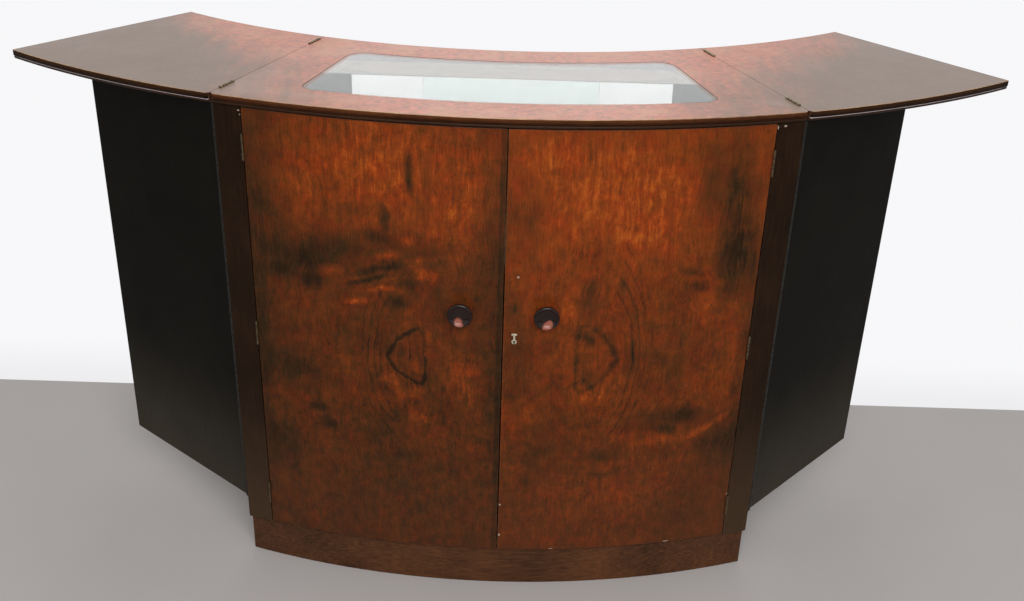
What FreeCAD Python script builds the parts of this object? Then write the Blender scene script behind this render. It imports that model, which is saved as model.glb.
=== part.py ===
"""Bow-fronted bar cabinet whose top folds out into two side leaves.

Millimetres, +Z up, front towards -Y. The origin is on the floor under the middle of the open
bar. Doors, top, shelves and plinth are arcs about one vertical axis, the arc axis, which stands
behind the cabinet. The seam is the upright plane through that axis, on each side, where the
middle of the top meets a leaf; the outer face of the cabinet's side lies in the same plane.
"""
import FreeCAD, Part
import math
import os
import re
import Sketcher

Vector = FreeCAD.Vector

SIZES = {
    # the top and its leaves
    "top_height": 1090,
    "front_radius": 1702,
    "top_depth": 458,
    "seam_angle": 19.43,
    "leaf_angle": 17.92,
    "top_thickness": 19,
    "seam_gap": 1.0,
    "corner_radius": 9,
    "arris": 1.0,
    "bead_height": 7,
    "bead_chamfer": 2,
    "bead_setback": 1.2,
    # the glass pane and the opening under it
    "pane_half_angle": 14.65,
    "pane_front_border": 89,
    "pane_rear_border": 86,
    "pane_front_rounding": 30,
    "pane_rear_rounding": 42,
    "pane_thickness": 5,
    "pane_ledge": 9,
    "pane_clearance": 0.8,
    "pane_sunk": 0.3,
    # the carcass
    "body_setback": 9,
    "back_setback": 10,
    "back_thickness": 6,
    "side_thickness": 18,
    "board_thickness": 18,
    "stile_width": 58,
    "stile_depth": 40,
    "stile_lip": 4,
    "rail_height": 40,
    "rail_depth": 22,
    "rear_rail_depth": 20,
    "lower_shelf_height": 430,
    "upper_shelf_height": 745,
    "shelf_front_space": 40,
    "shelf_clearance": 0.3,
    "cleat_height": 20,
    "cleat_width": 15,
    "cleat_length": 300,
    "cleat_inset": 30,
    # the plinth
    "plinth_height": 98,
    "plinth_setback": 11.5,
    "plinth_thickness": 20,
    "plinth_rear_setback": 10,
    "glue_block": 35,
    "glue_block_height": 60,
    # the doors
    "door_thickness": 20,
    "door_bottom_gap": 4,
    "door_top_gap": 3,
    "door_back_gap": 0.5,
    "door_meeting_gap": 2.4,
    "door_edge_gap": 2.4,
    # the door hinges
    "door_hinge_length": 55,
    "door_hinge_inset": 79,
    "door_hinge_plate": 16,
    "door_hinge_barrel": 2.4,
    "door_hinge_pin": 1.2,
    "door_hinge_proud": 2.6,
    # the leaf hinges
    "top_hinge_length": 50,
    "top_hinge_front_inset": 62,
    "top_hinge_rear_inset": 46,
    "top_hinge_plate": 14,
    "top_hinge_barrel": 2.6,
    "top_hinge_pin": 1.2,
    "top_hinge_proud": 0.8,
    # what every hinge shares
    "plate_thickness": 1.0,
    "plate_gap": 0.3,
    "plate_seat": 0.06,
    "pin_clearance": 0.05,
    "knuckle_gap": 0.3,
    "barrel_clearance": 0.5,
    # the gate wings and their piano hinges
    "wing_thickness": 18,
    "wing_recess_gap": 1.5,
    "wing_foot_gap": 50,
    "wing_top_gap": 1.0,
    "wing_end_gap": 3,
    "wing_arris": 1.2,
    "left_wing_opening": 69.9,
    "right_wing_opening": 63.1,
    "wing_hinge_plate": 14,
    "wing_hinge_barrel": 3.2,
    "wing_hinge_pin": 1.4,
    "wing_hinge_proud": 3.6,
    "wing_hinge_inset": 2,
    # the knobs
    "knob_height": 690,
    "knob_offset": 84,
    "knob_radius": 25.5,
    "knob_length": 28,
    "knob_rim": 3,
    "knob_flare": 13,
    "knob_neck_radius": 11.5,
    "knob_neck_height": 7,
    # the lock, its keeper and the escutcheon
    "lock_height": 624,
    "keyhole_offset": 23,
    "keyhole_radius": 2.2,
    "keyhole_slot": 6,
    "escutcheon_thickness": 1.2,
    "escutcheon_ring": 5.5,
    "escutcheon_stem": 4,
    "escutcheon_stem_height": 18,
    "escutcheon_arm": 11,
    "escutcheon_arm_height": 4,
    "lock_case_width": 44,
    "lock_case_height": 58,
    "lock_case_depth": 13,
    "lock_case_inset": 2,
    "lock_bolt_height": 14,
    "lock_bolt_thickness": 5,
    "lock_bolt_length": 34,
    "lock_bolt_clearance": 0.3,
    "lock_bolt_end_inset": 1,
    "lock_seat": 0.2,
    "keeper_width": 16,
    "keeper_height": 30,
    "keeper_wall": 1.6,
    # the bolt inside the left door
    "bolt_offset": 30,
    "bolt_half_width": 3.5,
    "bolt_length": 80,
    "bolt_rail_gap": 2,
    "bolt_travel": 14,
    "bolt_clearance": 0.25,
    "bolt_back_gap": 3,
    "bolt_plate_thickness": 2,
    "bolt_plate_width": 22,
    "bolt_plate_height": 62,
    "bolt_plate_drop": 14,
    "bolt_loop_height": 12,
    "bolt_loop_wall": 2,
    "bolt_grip_height": 6,
    "bolt_grip_length": 9,
    "bolt_mortise_depth": 24,
    "bolt_keeper_thickness": 1.5,
    "bolt_keeper_length": 26,
    "bolt_keeper_width": 14,
}


def angle_of(width, radius):
    """The angle in degrees that a width fills beside the radius it stands on."""
    return f"(asin(({width}) / ({radius})) / 1 deg)"


DERIVED = {
    "top_underside": "(top_height - top_thickness)",
    "top_rear": "(front_radius - top_depth)",
    "door_face": "(front_radius - body_setback)",
    "door_back": "(door_face - door_thickness)",
    "back_rear": "(top_rear + back_setback)",
    "back_front": "(back_rear + back_thickness)",
    "board_front": "(door_back - door_back_gap)",
    "board_top": "(plinth_height + board_thickness)",
    "stile_back": "(door_face - stile_depth)",
    "stile_angle": angle_of("stile_width", "door_face"),
    "stile_inner_angle": "(seam_angle - stile_angle)",
    "edge_gap_angle": angle_of("door_edge_gap", "door_face"),
    "door_edge_angle": "(stile_inner_angle - edge_gap_angle)",
    "door_hinge_angle": "(stile_inner_angle - edge_gap_angle / 2)",
    "door_hinge_lowest": "(door_bottom + door_hinge_inset)",
    "door_hinge_highest": "(door_top - door_hinge_inset)",
    "meeting_angle": angle_of("door_meeting_gap / 2", "door_face"),
    "door_bottom": "(plinth_height + door_bottom_gap)",
    "door_top": "(top_underside - door_top_gap)",
    "side_outer": "(wing_thickness + wing_recess_gap)",
    "side_inner": "(side_outer + side_thickness)",
    "plinth_front_face": "(door_face - plinth_setback)",
    "plinth_front_back": "(plinth_front_face - plinth_thickness)",
    "plinth_rear_face": "(back_rear + plinth_rear_setback)",
    "plinth_rear_front": "(plinth_rear_face + plinth_thickness)",
    "rail_bottom": "(top_underside - rail_height)",
    "rail_back": "(board_front - rail_depth)",
    "hinge_joint": "(plate_thickness + plate_gap / 2)",
    "wing_pin_radius": "(door_face - stile_lip - plate_seat - hinge_joint)",
    "wing_start": "(hinge_joint + plate_seat)",
    "wing_width": "(wing_pin_radius - wing_start - wing_end_gap - back_front)",
    "wing_bottom": "(plinth_height + wing_foot_gap)",
    "wing_top": "(top_underside - wing_top_gap)",
    "top_pin_height": "(top_height + top_hinge_proud)",
    "knob_angle": angle_of("knob_offset", "door_face"),
    "knob_reach": "((door_face + knob_length) * cos(knob_angle) + knob_radius * sin(knob_angle))",
    "leaf_rear": "(top_rear * cos(seam_angle + leaf_angle))",
    "arc_back": "((knob_reach + leaf_rear) / 2)",
    "keyhole_angle": angle_of("keyhole_offset", "door_face"),
    "lock_face": "(sqrt(door_back ^ 2 - (lock_case_width + lock_case_inset) ^ 2) - lock_seat)",
    "keeper_face": "(sqrt(door_back ^ 2 - (keeper_width + lock_case_inset) ^ 2) - lock_seat)",
    "lock_bolt_radius": "(lock_face - lock_case_depth / 2)",
    "bolt_face": "(sqrt(door_back ^ 2 - (bolt_offset + bolt_plate_width / 2) ^ 2) - lock_seat)",
    "bolt_axis": "(bolt_face - bolt_plate_thickness - bolt_back_gap - bolt_half_width)",
    "bolt_top": "(rail_bottom - bolt_keeper_thickness - bolt_rail_gap)",
}

KNUCKLE_COUNT = {"door_hinge": 3, "top_hinge": 5, "wing_hinge": 5}
DOOR_HINGE_COUNT = 3
BARREL_SIDE_COUNT = 8
KNOB_SIDE_COUNT = 32
RING_SIDE_COUNT = 20
TOLERANCE = 1e-6
PIECE_SIDES = (("left", -1), ("right", 1))

doc = FreeCAD.newDocument("bar_cabinet")
sheet = doc.addObject("Spreadsheet::Sheet", "size")
for row, (size_name, size_value) in enumerate(SIZES.items(), start=1):
    sheet.set(f"A{row}", str(size_value))
    sheet.setAlias(f"A{row}", size_name)
doc.recompute()
pieces = {}


# ---------------------------------------------------------------- expressions and frames
def cells(text):
    """Write out text with every size name as a reference to its cell in the sheet."""
    def written(word):
        name = word.group()
        if name in DERIVED:
            return cells(DERIVED[name])
        return "size." + name if name in SIZES else name
    return re.sub(r"[a-z][a-z_]+", written, str(text))


def number(text):
    """The present value of an expression of size names."""
    value = sheet.evalExpression(cells(text))
    return float(getattr(value, "Value", value))


def bind(thing, **properties):
    """Bind each named property of a document object to an expression of size names."""
    for name, text in properties.items():
        thing.setExpression(name.replace("__", "."), cells(text))


def move(x=0, y=0, z=0, about="0; 0; 1", turn=0):
    """One step of a placement: a shift, then a turn about an axis."""
    return f"placement(vector({x}; {y}; {z}); rotation(vector({about}); {turn}))"


def arc_frame(heading=0):
    """The arc axis at floor level, X along the radius that points heading degrees off the front."""
    return move(y="arc_back", turn=f"({heading}) - 90")


def seam_frame(hand):
    """The arc axis with X along the seam of one side; Y times hand points out of the cabinet."""
    return arc_frame(f"{hand} * seam_angle")


def place(thing, *frames):
    """Put a document object into the last of a chain of frames."""
    thing.setExpression("Placement", cells(" * ".join(frames)))


def keep(name, thing):
    """Make a document object one of the cabinet's pieces."""
    thing.Label = name
    pieces[name] = thing
    return thing


# ---------------------------------------------------------------- outlines
def point(x, y):
    return (x, y, None)


def arc(x, y, radius):
    """A point from which an arc goes on to the next; a positive radius turns left."""
    return (x, y, radius)


def chamfered(x, y, size, come, go):
    """A square corner cut off by a chamfer; come and go are the directions in and out of it."""
    return [point(f"({x}) - ({size}) * {come[0]}", f"({y}) - ({size}) * {come[1]}"),
            point(f"({x}) + ({size}) * {go[0]}", f"({y}) + ({size}) * {go[1]}")]


def arc_edge(start, end, radius):
    """The arc from start to end, under half a turn, with its centre left of it if radius > 0."""
    middle = (start + end) / 2
    chord = end - start
    half = chord.Length / 2
    left = Vector(-chord.y, chord.x, 0).normalize()
    side = math.copysign(1, radius)
    centre = middle + left * (side * math.sqrt(max(radius * radius - half * half, 0)))
    crown = centre - left * (side * abs(radius))
    return Part.Arc(start, crown, end)


def end_points(edge_count, index, radii):
    """Which ends of an edge are its first and last points: an arc is stored anticlockwise."""
    radius = radii[index % edge_count]
    return (1, 2) if radius is None or radius > 0 else (2, 1)


def draw(body, plane, path, lift=None):
    """Draw a closed outline on one of a body's origin planes, every point held by expressions."""
    origin_plane = [item for item in body.Origin.OriginFeatures if item.Role == plane][0]
    sketch = body.newObject("Sketcher::SketchObject", f"{body.Name}_outline")
    sketch.AttachmentSupport = [(origin_plane, "")]
    sketch.MapMode = "FlatFace"
    if lift is not None:
        sketch.setExpression("AttachmentOffset.Base.z", cells(lift))
    corners = [Vector(number(x), number(y), 0) for x, y, _ in path]
    radii = [None if radius is None else number(radius) for _, _, radius in path]
    count = len(path)
    for index, start in enumerate(corners):
        end = corners[(index + 1) % count]
        straight = radii[index] is None
        sketch.addGeometry(Part.LineSegment(start, end) if straight else arc_edge(start, end, radii[index]))
    for index, (x, y, radius) in enumerate(path):
        first, last = end_points(count, index, radii)
        following = (index + 1) % count
        next_first = end_points(count, following, radii)[0]
        sketch.addConstraint(Sketcher.Constraint("Coincident", index, last, following, next_first))
        for kind, text in (("DistanceX", x), ("DistanceY", y)):
            held = sketch.addConstraint(Sketcher.Constraint(kind, -1, 1, index, first, number(text)))
            sketch.setExpression(f"Constraints[{held}]", cells(text))
        if radius is not None:
            held = sketch.addConstraint(Sketcher.Constraint("Radius", index, abs(radii[index])))
            sketch.setExpression(f"Constraints[{held}]", cells(f"abs({radius})"))
    return sketch


def new_body(name):
    return doc.addObject("PartDesign::Body", name)


def turned(name, path, span, heading=0):
    """A piece with a section of radius and height, turned span degrees about the arc axis."""
    body = new_body(name)
    sketch = draw(body, "XZ_Plane", path)
    turn = body.newObject("PartDesign::Revolution", f"{name}_turn")
    turn.Profile = sketch
    turn.ReferenceAxis = (sketch, ["V_Axis"])
    turn.Midplane = True
    bind(turn, Angle=span)
    place(body, arc_frame(heading))
    return body


def raised(name, path, bottom, top, *frames):
    """A piece with an outline in plan, raised from bottom to top."""
    body = new_body(name)
    sketch = draw(body, "XY_Plane", path, bottom)
    pad = body.newObject("PartDesign::Pad", f"{name}_pad")
    pad.Profile = sketch
    bind(pad, Length=f"({top}) - ({bottom})")
    place(body, *(frames or (arc_frame(),)))
    return body


def rectangle(low_x, high_x, low_y, high_y):
    return [point(low_x, low_y), point(high_x, low_y), point(high_x, high_y), point(low_x, high_y)]


def block(name, low, high, *frames):
    """A plain box from its low corner to its high corner, in a frame."""
    box = doc.addObject("Part::Box", name)
    bind(box, Length=f"({high[0]}) - ({low[0]})", Width=f"({high[1]}) - ({low[1]})",
         Height=f"({high[2]}) - ({low[2]})")
    place(box, *frames, move(*low))
    return box


def rod(name, radius, length, *frames):
    """A round bar that stands on the last frame's origin, along its Z."""
    bar = doc.addObject("Part::Cylinder", name)
    bind(bar, Radius=radius, Height=length)
    place(bar, *(frames or (move(),)))
    return bar


def barrel(name, radius, length, *frames, sides=BARREL_SIDE_COUNT):
    """A many-sided bar whose corners lie on a circle, standing like a rod."""
    bar = doc.addObject("Part::Prism", name)
    bar.Polygon = sides
    bind(bar, Circumradius=radius, Height=length)
    place(bar, *(frames or (move(),)))
    return bar


def fused(name, *parts):
    union = doc.addObject("Part::MultiFuse", name)
    union.Shapes = list(parts)
    return union


def cut(name, base, *tools):
    """What is left of base when the tools are taken away."""
    remainder = doc.addObject("Part::Cut", name)
    remainder.Base = base
    remainder.Tool = fused(f"{name}_tools", *tools) if len(tools) > 1 else tools[0]
    return remainder


def group(name, parts):
    """Several separate solids that make one node."""
    bundle = doc.addObject("Part::Compound", name)
    bundle.Links = list(parts)
    return bundle


def on_arc(radius, angle):
    """A point of a plan outline, angle degrees off the front."""
    return f"({radius}) * cos({angle})", f"({radius}) * sin({angle})"


def inside_seam(radius, depth, side):
    """A point of a plan outline at a radius, a depth inwards of the seam of one side."""
    along = f"sqrt(({radius}) ^ 2 - ({depth}) ^ 2)"
    return (f"{along} * cos(seam_angle) + ({depth}) * sin(seam_angle)",
            f"{side} * ({along} * sin(seam_angle) - ({depth}) * cos(seam_angle))")


def between_sides(name, inner, outer, depth, bottom, top):
    """A curved board whose ends lie a depth inside the two seams."""
    path = [arc(*inside_seam(outer, depth, -1), outer), point(*inside_seam(outer, depth, 1)),
            arc(*inside_seam(inner, depth, 1), f"-({inner})"), point(*inside_seam(inner, depth, -1))]
    return keep(name, raised(name, path, bottom, top))


def beside_seam(hand, inner, outer, near, far):
    """The plan of a board along one seam, between two depths and two radii, in the seam's frame."""
    def end(radius, depth):
        return f"sqrt(({radius}) ^ 2 - ({depth}) ^ 2)", f"{-hand} * ({depth})"
    return [arc(*end(outer, near), f"{-hand} * ({outer})"), point(*end(outer, far)),
            arc(*end(inner, far), f"{hand} * ({inner})"), point(*end(inner, near))]


# ---------------------------------------------------------------- hinges
def knuckle_span(length, count, index):
    """Bottom and height of one knuckle of a barrel, with the gap to its neighbours."""
    pitch = f"(({length}) / {count})"
    return f"{index} * {pitch} + knuckle_gap / 2", f"{pitch} - knuckle_gap"


def hinge_half(name, kind, length, side, parity, *frames):
    """Half of a hinge: a plate beside the joint and every second knuckle of the barrel.

    Z runs along the pin and X into the joint. side is the sign of Y on which the plate lies. The
    even knuckles belong to the fixed half, which also holds the pin; the odd ones turn on it.
    """
    count = KNUCKLE_COUNT[kind]
    low, high = ("plate_gap / 2", "hinge_joint") if side > 0 else ("-hinge_joint", "-plate_gap / 2")
    clear = f"({kind}_barrel + knuckle_gap)"
    parts = [block(f"{name}_plate", (clear, low, 0), (f"{kind}_plate", high, length))]
    for index in range(parity, count, 2):
        start, height = knuckle_span(length, count, index)
        parts.append(barrel(f"{name}_knuckle", f"{kind}_barrel", height, move(z=start)))
        parts.append(block(f"{name}_tab", (0, low, start), (f"{clear} + knuckle_gap", high,
                                                             f"{start} + {height}")))
    if parity:
        metal = fused(f"{name}_metal", *parts)
        half = cut(name, metal, rod(f"{name}_bore", f"{kind}_pin + pin_clearance", length))
    else:
        pitch = f"({length}) / {count}"
        half = fused(name, *parts, rod(f"{name}_pin", f"{kind}_pin", f"{length} - {pitch}",
                                       move(z=f"{pitch} / 2")))
    place(half, *frames)
    return half


def hinge_recess(name, kind, length, *frames):
    """The room that a hinge needs in the two edges that it joins."""
    reach = "(hinge_joint + plate_seat)"
    end = "barrel_clearance"
    wide = f"({kind}_barrel + {end})"
    slot = block(f"{name}_slot", (f"-{wide}", f"-{reach}", f"-{end}"),
                 (f"{kind}_plate + {end}", reach, f"{length} + {end}"))
    notch = block(f"{name}_notch", (f"-{wide}", f"-{wide}", f"-{end}"), (wide, wide, f"{length} + {end}"))
    recess = fused(name, slot, notch)
    place(recess, *frames)
    return recess


def door_hinge_frames(hand):
    """The pins of a door's hinges, X into the joint between the door's edge and the stile."""
    line = arc_frame(f"{hand} * door_hinge_angle")
    rise = f"(door_hinge_highest - door_hinge_lowest) / {DOOR_HINGE_COUNT - 1}"
    return [(line, move("door_face + door_hinge_proud", 0,
                        f"door_hinge_lowest - door_hinge_length / 2 + {step} * {rise}", turn=180))
            for step in range(DOOR_HINGE_COUNT)]


def top_hinge_frames(hand):
    """The pins of a leaf's hinges, lying along the seam with X pointing down into it."""
    centres = ("front_radius - top_hinge_front_inset", "top_rear + top_hinge_rear_inset")
    return [(seam_frame(hand), move(f"{centre} - top_hinge_length / 2", 0, "top_pin_height",
                                    about="0; 1; 0", turn=90)) for centre in centres]


def wing_hinge_frame(hand, opening=0):
    """The pin of a wing's hinge at floor level, X into the joint, turned by the wing's opening."""
    return (seam_frame(hand), move("wing_pin_radius", f"{hand} * wing_hinge_proud", 0,
                                   turn=f"{-hand} * (90 + ({opening}))"))


def butt_hinges(side_name, hand):
    """The hinges of one door and one leaf: the fixed halves with their pins and the moving halves."""
    for kind, frames in (("door_hinge", door_hinge_frames(hand)), ("top_hinge", top_hinge_frames(hand))):
        length = f"{kind}_length"
        for half, side, parity in (("fixed", -hand, 0), ("moving", hand, 1)):
            name = f"{side_name}_{kind}_{half}"
            keep(name, group(name, [hinge_half(f"{name}_part", kind, length, side, parity, *frame)
                                    for frame in frames]))


def piano_hinge(side_name, hand):
    """The full-height hinge of one wing."""
    length = "(wing_top - wing_bottom - 2 * wing_hinge_inset)"
    lift = move(z="wing_bottom + wing_hinge_inset")
    opening = f"{side_name}_wing_opening"
    halves = (("fixed", hand, 0, 0), ("moving", -hand, 1, opening))
    for half, side, parity, turn in halves:
        name = f"{side_name}_wing_hinge_{half}"
        frame = wing_hinge_frame(hand, turn)
        keep(name, hinge_half(name, "wing_hinge", length, side, parity, *frame, lift))


# ---------------------------------------------------------------- the top
def top_section():
    """Section of the top from its square rear edge to its moulded front edge.

    A flat band stands over a chamfered bead that is set back a little.
    """
    bead_face = "(front_radius - bead_setback)"
    band_bottom = "(top_underside + bead_height)"
    right, up, left, down = (1, 0), (0, 1), (-1, 0), (0, -1)
    return [point("top_rear", "top_underside"),
            *chamfered(bead_face, "top_underside", "bead_chamfer", right, up),
            *chamfered(bead_face, band_bottom, "bead_chamfer", up, left),
            point("front_radius", band_bottom),
            *chamfered("front_radius", "top_height", "arris", up, left),
            *chamfered("top_rear", "top_height", "arris", left, down)]


def corner_waste(name, hand, outward):
    """What is cut off where a front corner beside the seam is rounded in plan.

    outward is the sign, in the seam's frame, of the side of the seam on which the corner lies.
    """
    centre_x = "front_radius - corner_radius"
    centre_y = f"{outward} * (seam_gap / 2 + corner_radius)"
    low, high = ("0", centre_y) if outward > 0 else (centre_y, "0")
    spare = "corner_radius"
    slab = block(f"{name}_slab", (centre_x, low, f"top_underside - {spare}"),
                 (f"front_radius + {spare}", high, f"top_height + {spare}"))
    core = rod(f"{name}_core", "corner_radius", f"top_thickness + 4 * {spare}",
               move(centre_x, centre_y, f"top_underside - 2 * {spare}"))
    waste = cut(name, slab, core)
    place(waste, seam_frame(hand))
    return waste


def seam_tools(name, hand, gap_side):
    """All that one seam takes from a board: the gap, the hinge recesses and the front corner.

    gap_side is 1 for the leaf, which lies outside the seam, and -1 for the middle of the top.
    """
    spare = "top_thickness"
    gap = block(f"{name}_gap", (f"top_rear - {spare}", "-seam_gap / 2", f"top_underside - {spare}"),
                (f"front_radius + {spare}", "seam_gap / 2", f"top_height + {spare}"), seam_frame(hand))
    recesses = [hinge_recess(f"{name}_recess", "top_hinge", "top_hinge_length", *frame)
                for frame in top_hinge_frames(hand)]
    return [gap, *recesses, corner_waste(f"{name}_corner", hand, hand * gap_side)]


def upright_corners(shape, radius, span):
    """Names of the upright edges of a shape that stand at a radius, span degrees off its X."""
    names = []
    for index, edge in enumerate(shape.Edges, start=1):
        rise = abs(edge.Vertexes[0].Z - edge.Vertexes[-1].Z)
        centre = edge.CenterOfMass
        upright = rise > 0 and abs(edge.Length - rise) < TOLERANCE
        angle = math.degrees(math.atan2(abs(centre.y), centre.x))
        if upright and abs(math.hypot(centre.x, centre.y) - radius) < TOLERANCE \
                and abs(angle - span) < TOLERANCE:
            names.append(f"Edge{index}")
    return names


def round_uprights(body, name, low_radius, high_radius, half, rear, front):
    """Round the four upright corners of an opening: the rear two and the front two differ."""
    for end, reach, rounding in (("rear", low_radius, rear), ("front", high_radius, front)):
        doc.recompute()
        before = body.Tip
        corners = upright_corners(before.Shape, number(reach), number(half))
        fillet = body.newObject("PartDesign::Fillet", f"{name}_{end}")
        fillet.Base = (before, corners)
        bind(fillet, Radius=rounding)


def turned_opening(body, name, section, span):
    """Take a turned section out of a body, symmetrical about its X."""
    sketch = draw(body, "XZ_Plane", section)
    groove = body.newObject("PartDesign::Groove", name)
    groove.Profile = sketch
    groove.ReferenceAxis = (sketch, ["V_Axis"])
    groove.Midplane = True
    bind(groove, Angle=span)


def pane_outline(inset):
    """Radii and half angle of the pane's recess, drawn in by an inset all round."""
    rear = f"(top_rear + pane_rear_border + ({inset}))"
    front = f"(front_radius - pane_front_border - ({inset}))"
    half = f"(pane_half_angle - {angle_of(inset, 'front_radius')})"
    return rear, front, half


def centre_top():
    """The fixed middle of the top, with a stepped opening for the pane."""
    body = turned("centre_top_board", top_section(), "2 * seam_angle")
    spare = "top_thickness"
    steps = (("opening", "pane_ledge", "top_underside - " + spare),
             ("recess", "0", "top_height - pane_sunk - pane_thickness"))
    for name, inset, floor in steps:
        rear, front, half = pane_outline(inset)
        section = rectangle(rear, front, floor, f"top_height + {spare}")
        turned_opening(body, name, section, f"2 * {half}")
        round_uprights(body, name, rear, front, half, f"pane_rear_rounding - ({inset})",
                       f"pane_front_rounding - ({inset})")
    tools = [tool for side_name, hand in PIECE_SIDES
             for tool in seam_tools(f"centre_{side_name}", hand, -1)]
    keep("centre_top", cut("centre_top", body, *tools))


def glass_panel():
    """The pane, which lies on the step of the opening, flush with the top."""
    rear, front, half = pane_outline("pane_clearance")
    section = rectangle(rear, front, "top_height - pane_sunk - pane_thickness", "top_height - pane_sunk")
    body = turned("glass_panel", section, f"2 * {half}")
    round_uprights(body, "pane", rear, front, half, "pane_rear_rounding - pane_clearance",
                   "pane_front_rounding - pane_clearance")
    keep("glass_panel", body)


def leaf(side_name, hand):
    """One leaf of the top, as deep as the middle, with the same moulded edge."""
    heading = f"{hand} * (seam_angle + leaf_angle / 2)"
    body = turned(f"{side_name}_leaf_board", top_section(), "leaf_angle", heading)
    name = f"{side_name}_leaf"
    keep(name, cut(name, body, *seam_tools(name, hand, 1)))


# ---------------------------------------------------------------- the carcass
def stile(side_name, hand):
    """The curved post beside a door; its outer rear corner is cut back to a lip for the wing."""
    inner = f"{-hand} * stile_angle"
    rear_x = "sqrt(stile_back ^ 2 - side_outer ^ 2)"
    path = [arc("door_face", 0, f"{-hand} * door_face"), point(*on_arc("door_face", inner)),
            arc(*on_arc("stile_back", inner), f"{hand} * stile_back"),
            point(rear_x, f"{-hand} * side_outer"),
            point("door_face - stile_lip", f"{-hand} * side_outer"), point("door_face - stile_lip", 0)]
    name = f"{side_name}_stile"
    keep(name, raised(name, path, "plinth_height", "top_underside", seam_frame(hand)))


def side_boards(side_name, hand):
    """The side of the carcass, recessed for the wing, and the end of the plinth under it."""
    name = f"{side_name}_side"
    plan = beside_seam(hand, "back_front", "stile_back", "side_outer", "side_inner")
    keep(name, raised(name, plan, "board_top", "top_underside", seam_frame(hand)))
    name = f"{side_name}_plinth_end"
    plan = beside_seam(hand, "plinth_rear_front", "plinth_front_back", "0", "plinth_thickness")
    keep(name, raised(name, plan, "0", "plinth_height", seam_frame(hand)))


def bottom_board():
    """The curved floor of the cabinet, notched at the front corners round the stiles."""
    inner = "stile_inner_angle"
    path = [arc(*on_arc("board_front", f"-{inner}"), "board_front"), point(*on_arc("board_front", inner)),
            arc(*on_arc("stile_back", inner), "stile_back"), point(*on_arc("stile_back", "seam_angle")),
            arc(*on_arc("back_front", "seam_angle"), "-back_front"),
            point(*on_arc("back_front", "-seam_angle")),
            arc(*on_arc("stile_back", "-seam_angle"), "stile_back"),
            point(*on_arc("stile_back", f"-{inner}"))]
    keep("bottom_board", raised("bottom_board", path, "plinth_height", "board_top"))


def bolt_mortise():
    """The square hole in the front rail that the left door's bolt goes into."""
    half = "(bolt_half_width + bolt_clearance)"
    return block("bolt_mortise", (f"-{half}", f"-{half}", "rail_bottom - bolt_rail_gap"),
                 (half, half, "rail_bottom - bolt_rail_gap + bolt_mortise_depth"), *bolt_frame())


def curved_boards():
    """Back, rails, shelves and the front and back of the plinth."""
    keep("back_panel", turned("back_panel", rectangle("back_rear", "back_front", "plinth_height",
                                                      "top_underside"), "2 * seam_angle"))
    rail = turned("front_rail_board", rectangle("rail_back", "board_front", "rail_bottom", "top_underside"),
                  "2 * stile_inner_angle")
    keep("front_rail", cut("front_rail", rail, bolt_mortise()))
    between_sides("rear_rail", "back_front", "back_front + rear_rail_depth", "side_inner", "rail_bottom",
                  "top_underside")
    for name in ("lower_shelf", "upper_shelf"):
        between_sides(name, "back_front + shelf_clearance", "board_front - shelf_front_space",
                      "side_inner + shelf_clearance", f"{name}_height", f"{name}_height + board_thickness")
    between_sides("plinth_front", "plinth_front_back", "plinth_front_face", "0", "0", "plinth_height")
    between_sides("plinth_back", "plinth_rear_face", "plinth_rear_front", "0", "0", "plinth_height")


def cleat(hand, shelf):
    """A strip on the inside of a side, which carries one end of a shelf."""
    start = "back_front + cleat_inset"
    near = "side_inner" if hand < 0 else "-side_inner - cleat_width"
    far = "side_inner + cleat_width" if hand < 0 else "-side_inner"
    return block("cleat", (start, near, f"{shelf}_height - cleat_height"),
                 (f"{start} + cleat_length", far, f"{shelf}_height"), seam_frame(hand))


def glue_blocks():
    """Square blocks in the four corners of the plinth, tight under the floor of the cabinet."""
    blocks = []
    spare = "lock_seat"
    for _, hand in PIECE_SIDES:
        near = "plinth_thickness" if hand < 0 else "-plinth_thickness - glue_block"
        far = "plinth_thickness + glue_block" if hand < 0 else "-plinth_thickness"
        front = f"sqrt(plinth_front_back ^ 2 - (plinth_thickness + glue_block) ^ 2) - {spare}"
        rear = f"plinth_rear_front + {spare}"
        for low, high in ((f"{front} - glue_block", front), (rear, f"{rear} + glue_block")):
            blocks.append(block("glue_block", (low, near, "plinth_height - glue_block_height"),
                                (high, far, "plinth_height"), seam_frame(hand)))
    keep("plinth_blocks", group("plinth_blocks", blocks))


# ---------------------------------------------------------------- the doors
def knob_frame(hand):
    """The middle of a knob's foot on the door's face, Z pointing straight out of the door."""
    foot = move("door_face", 0, "knob_height", about="0; 1; 0", turn=90)
    return arc_frame(f"{hand} * knob_angle"), foot


def flat_edges(shape, height):
    """Names of the edges that lie level at one height of a shape."""
    return [f"Edge{index}" for index, edge in enumerate(shape.Edges, start=1)
            if all(abs(vertex.Z - height) < TOLERANCE for vertex in edge.Vertexes)]


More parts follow.
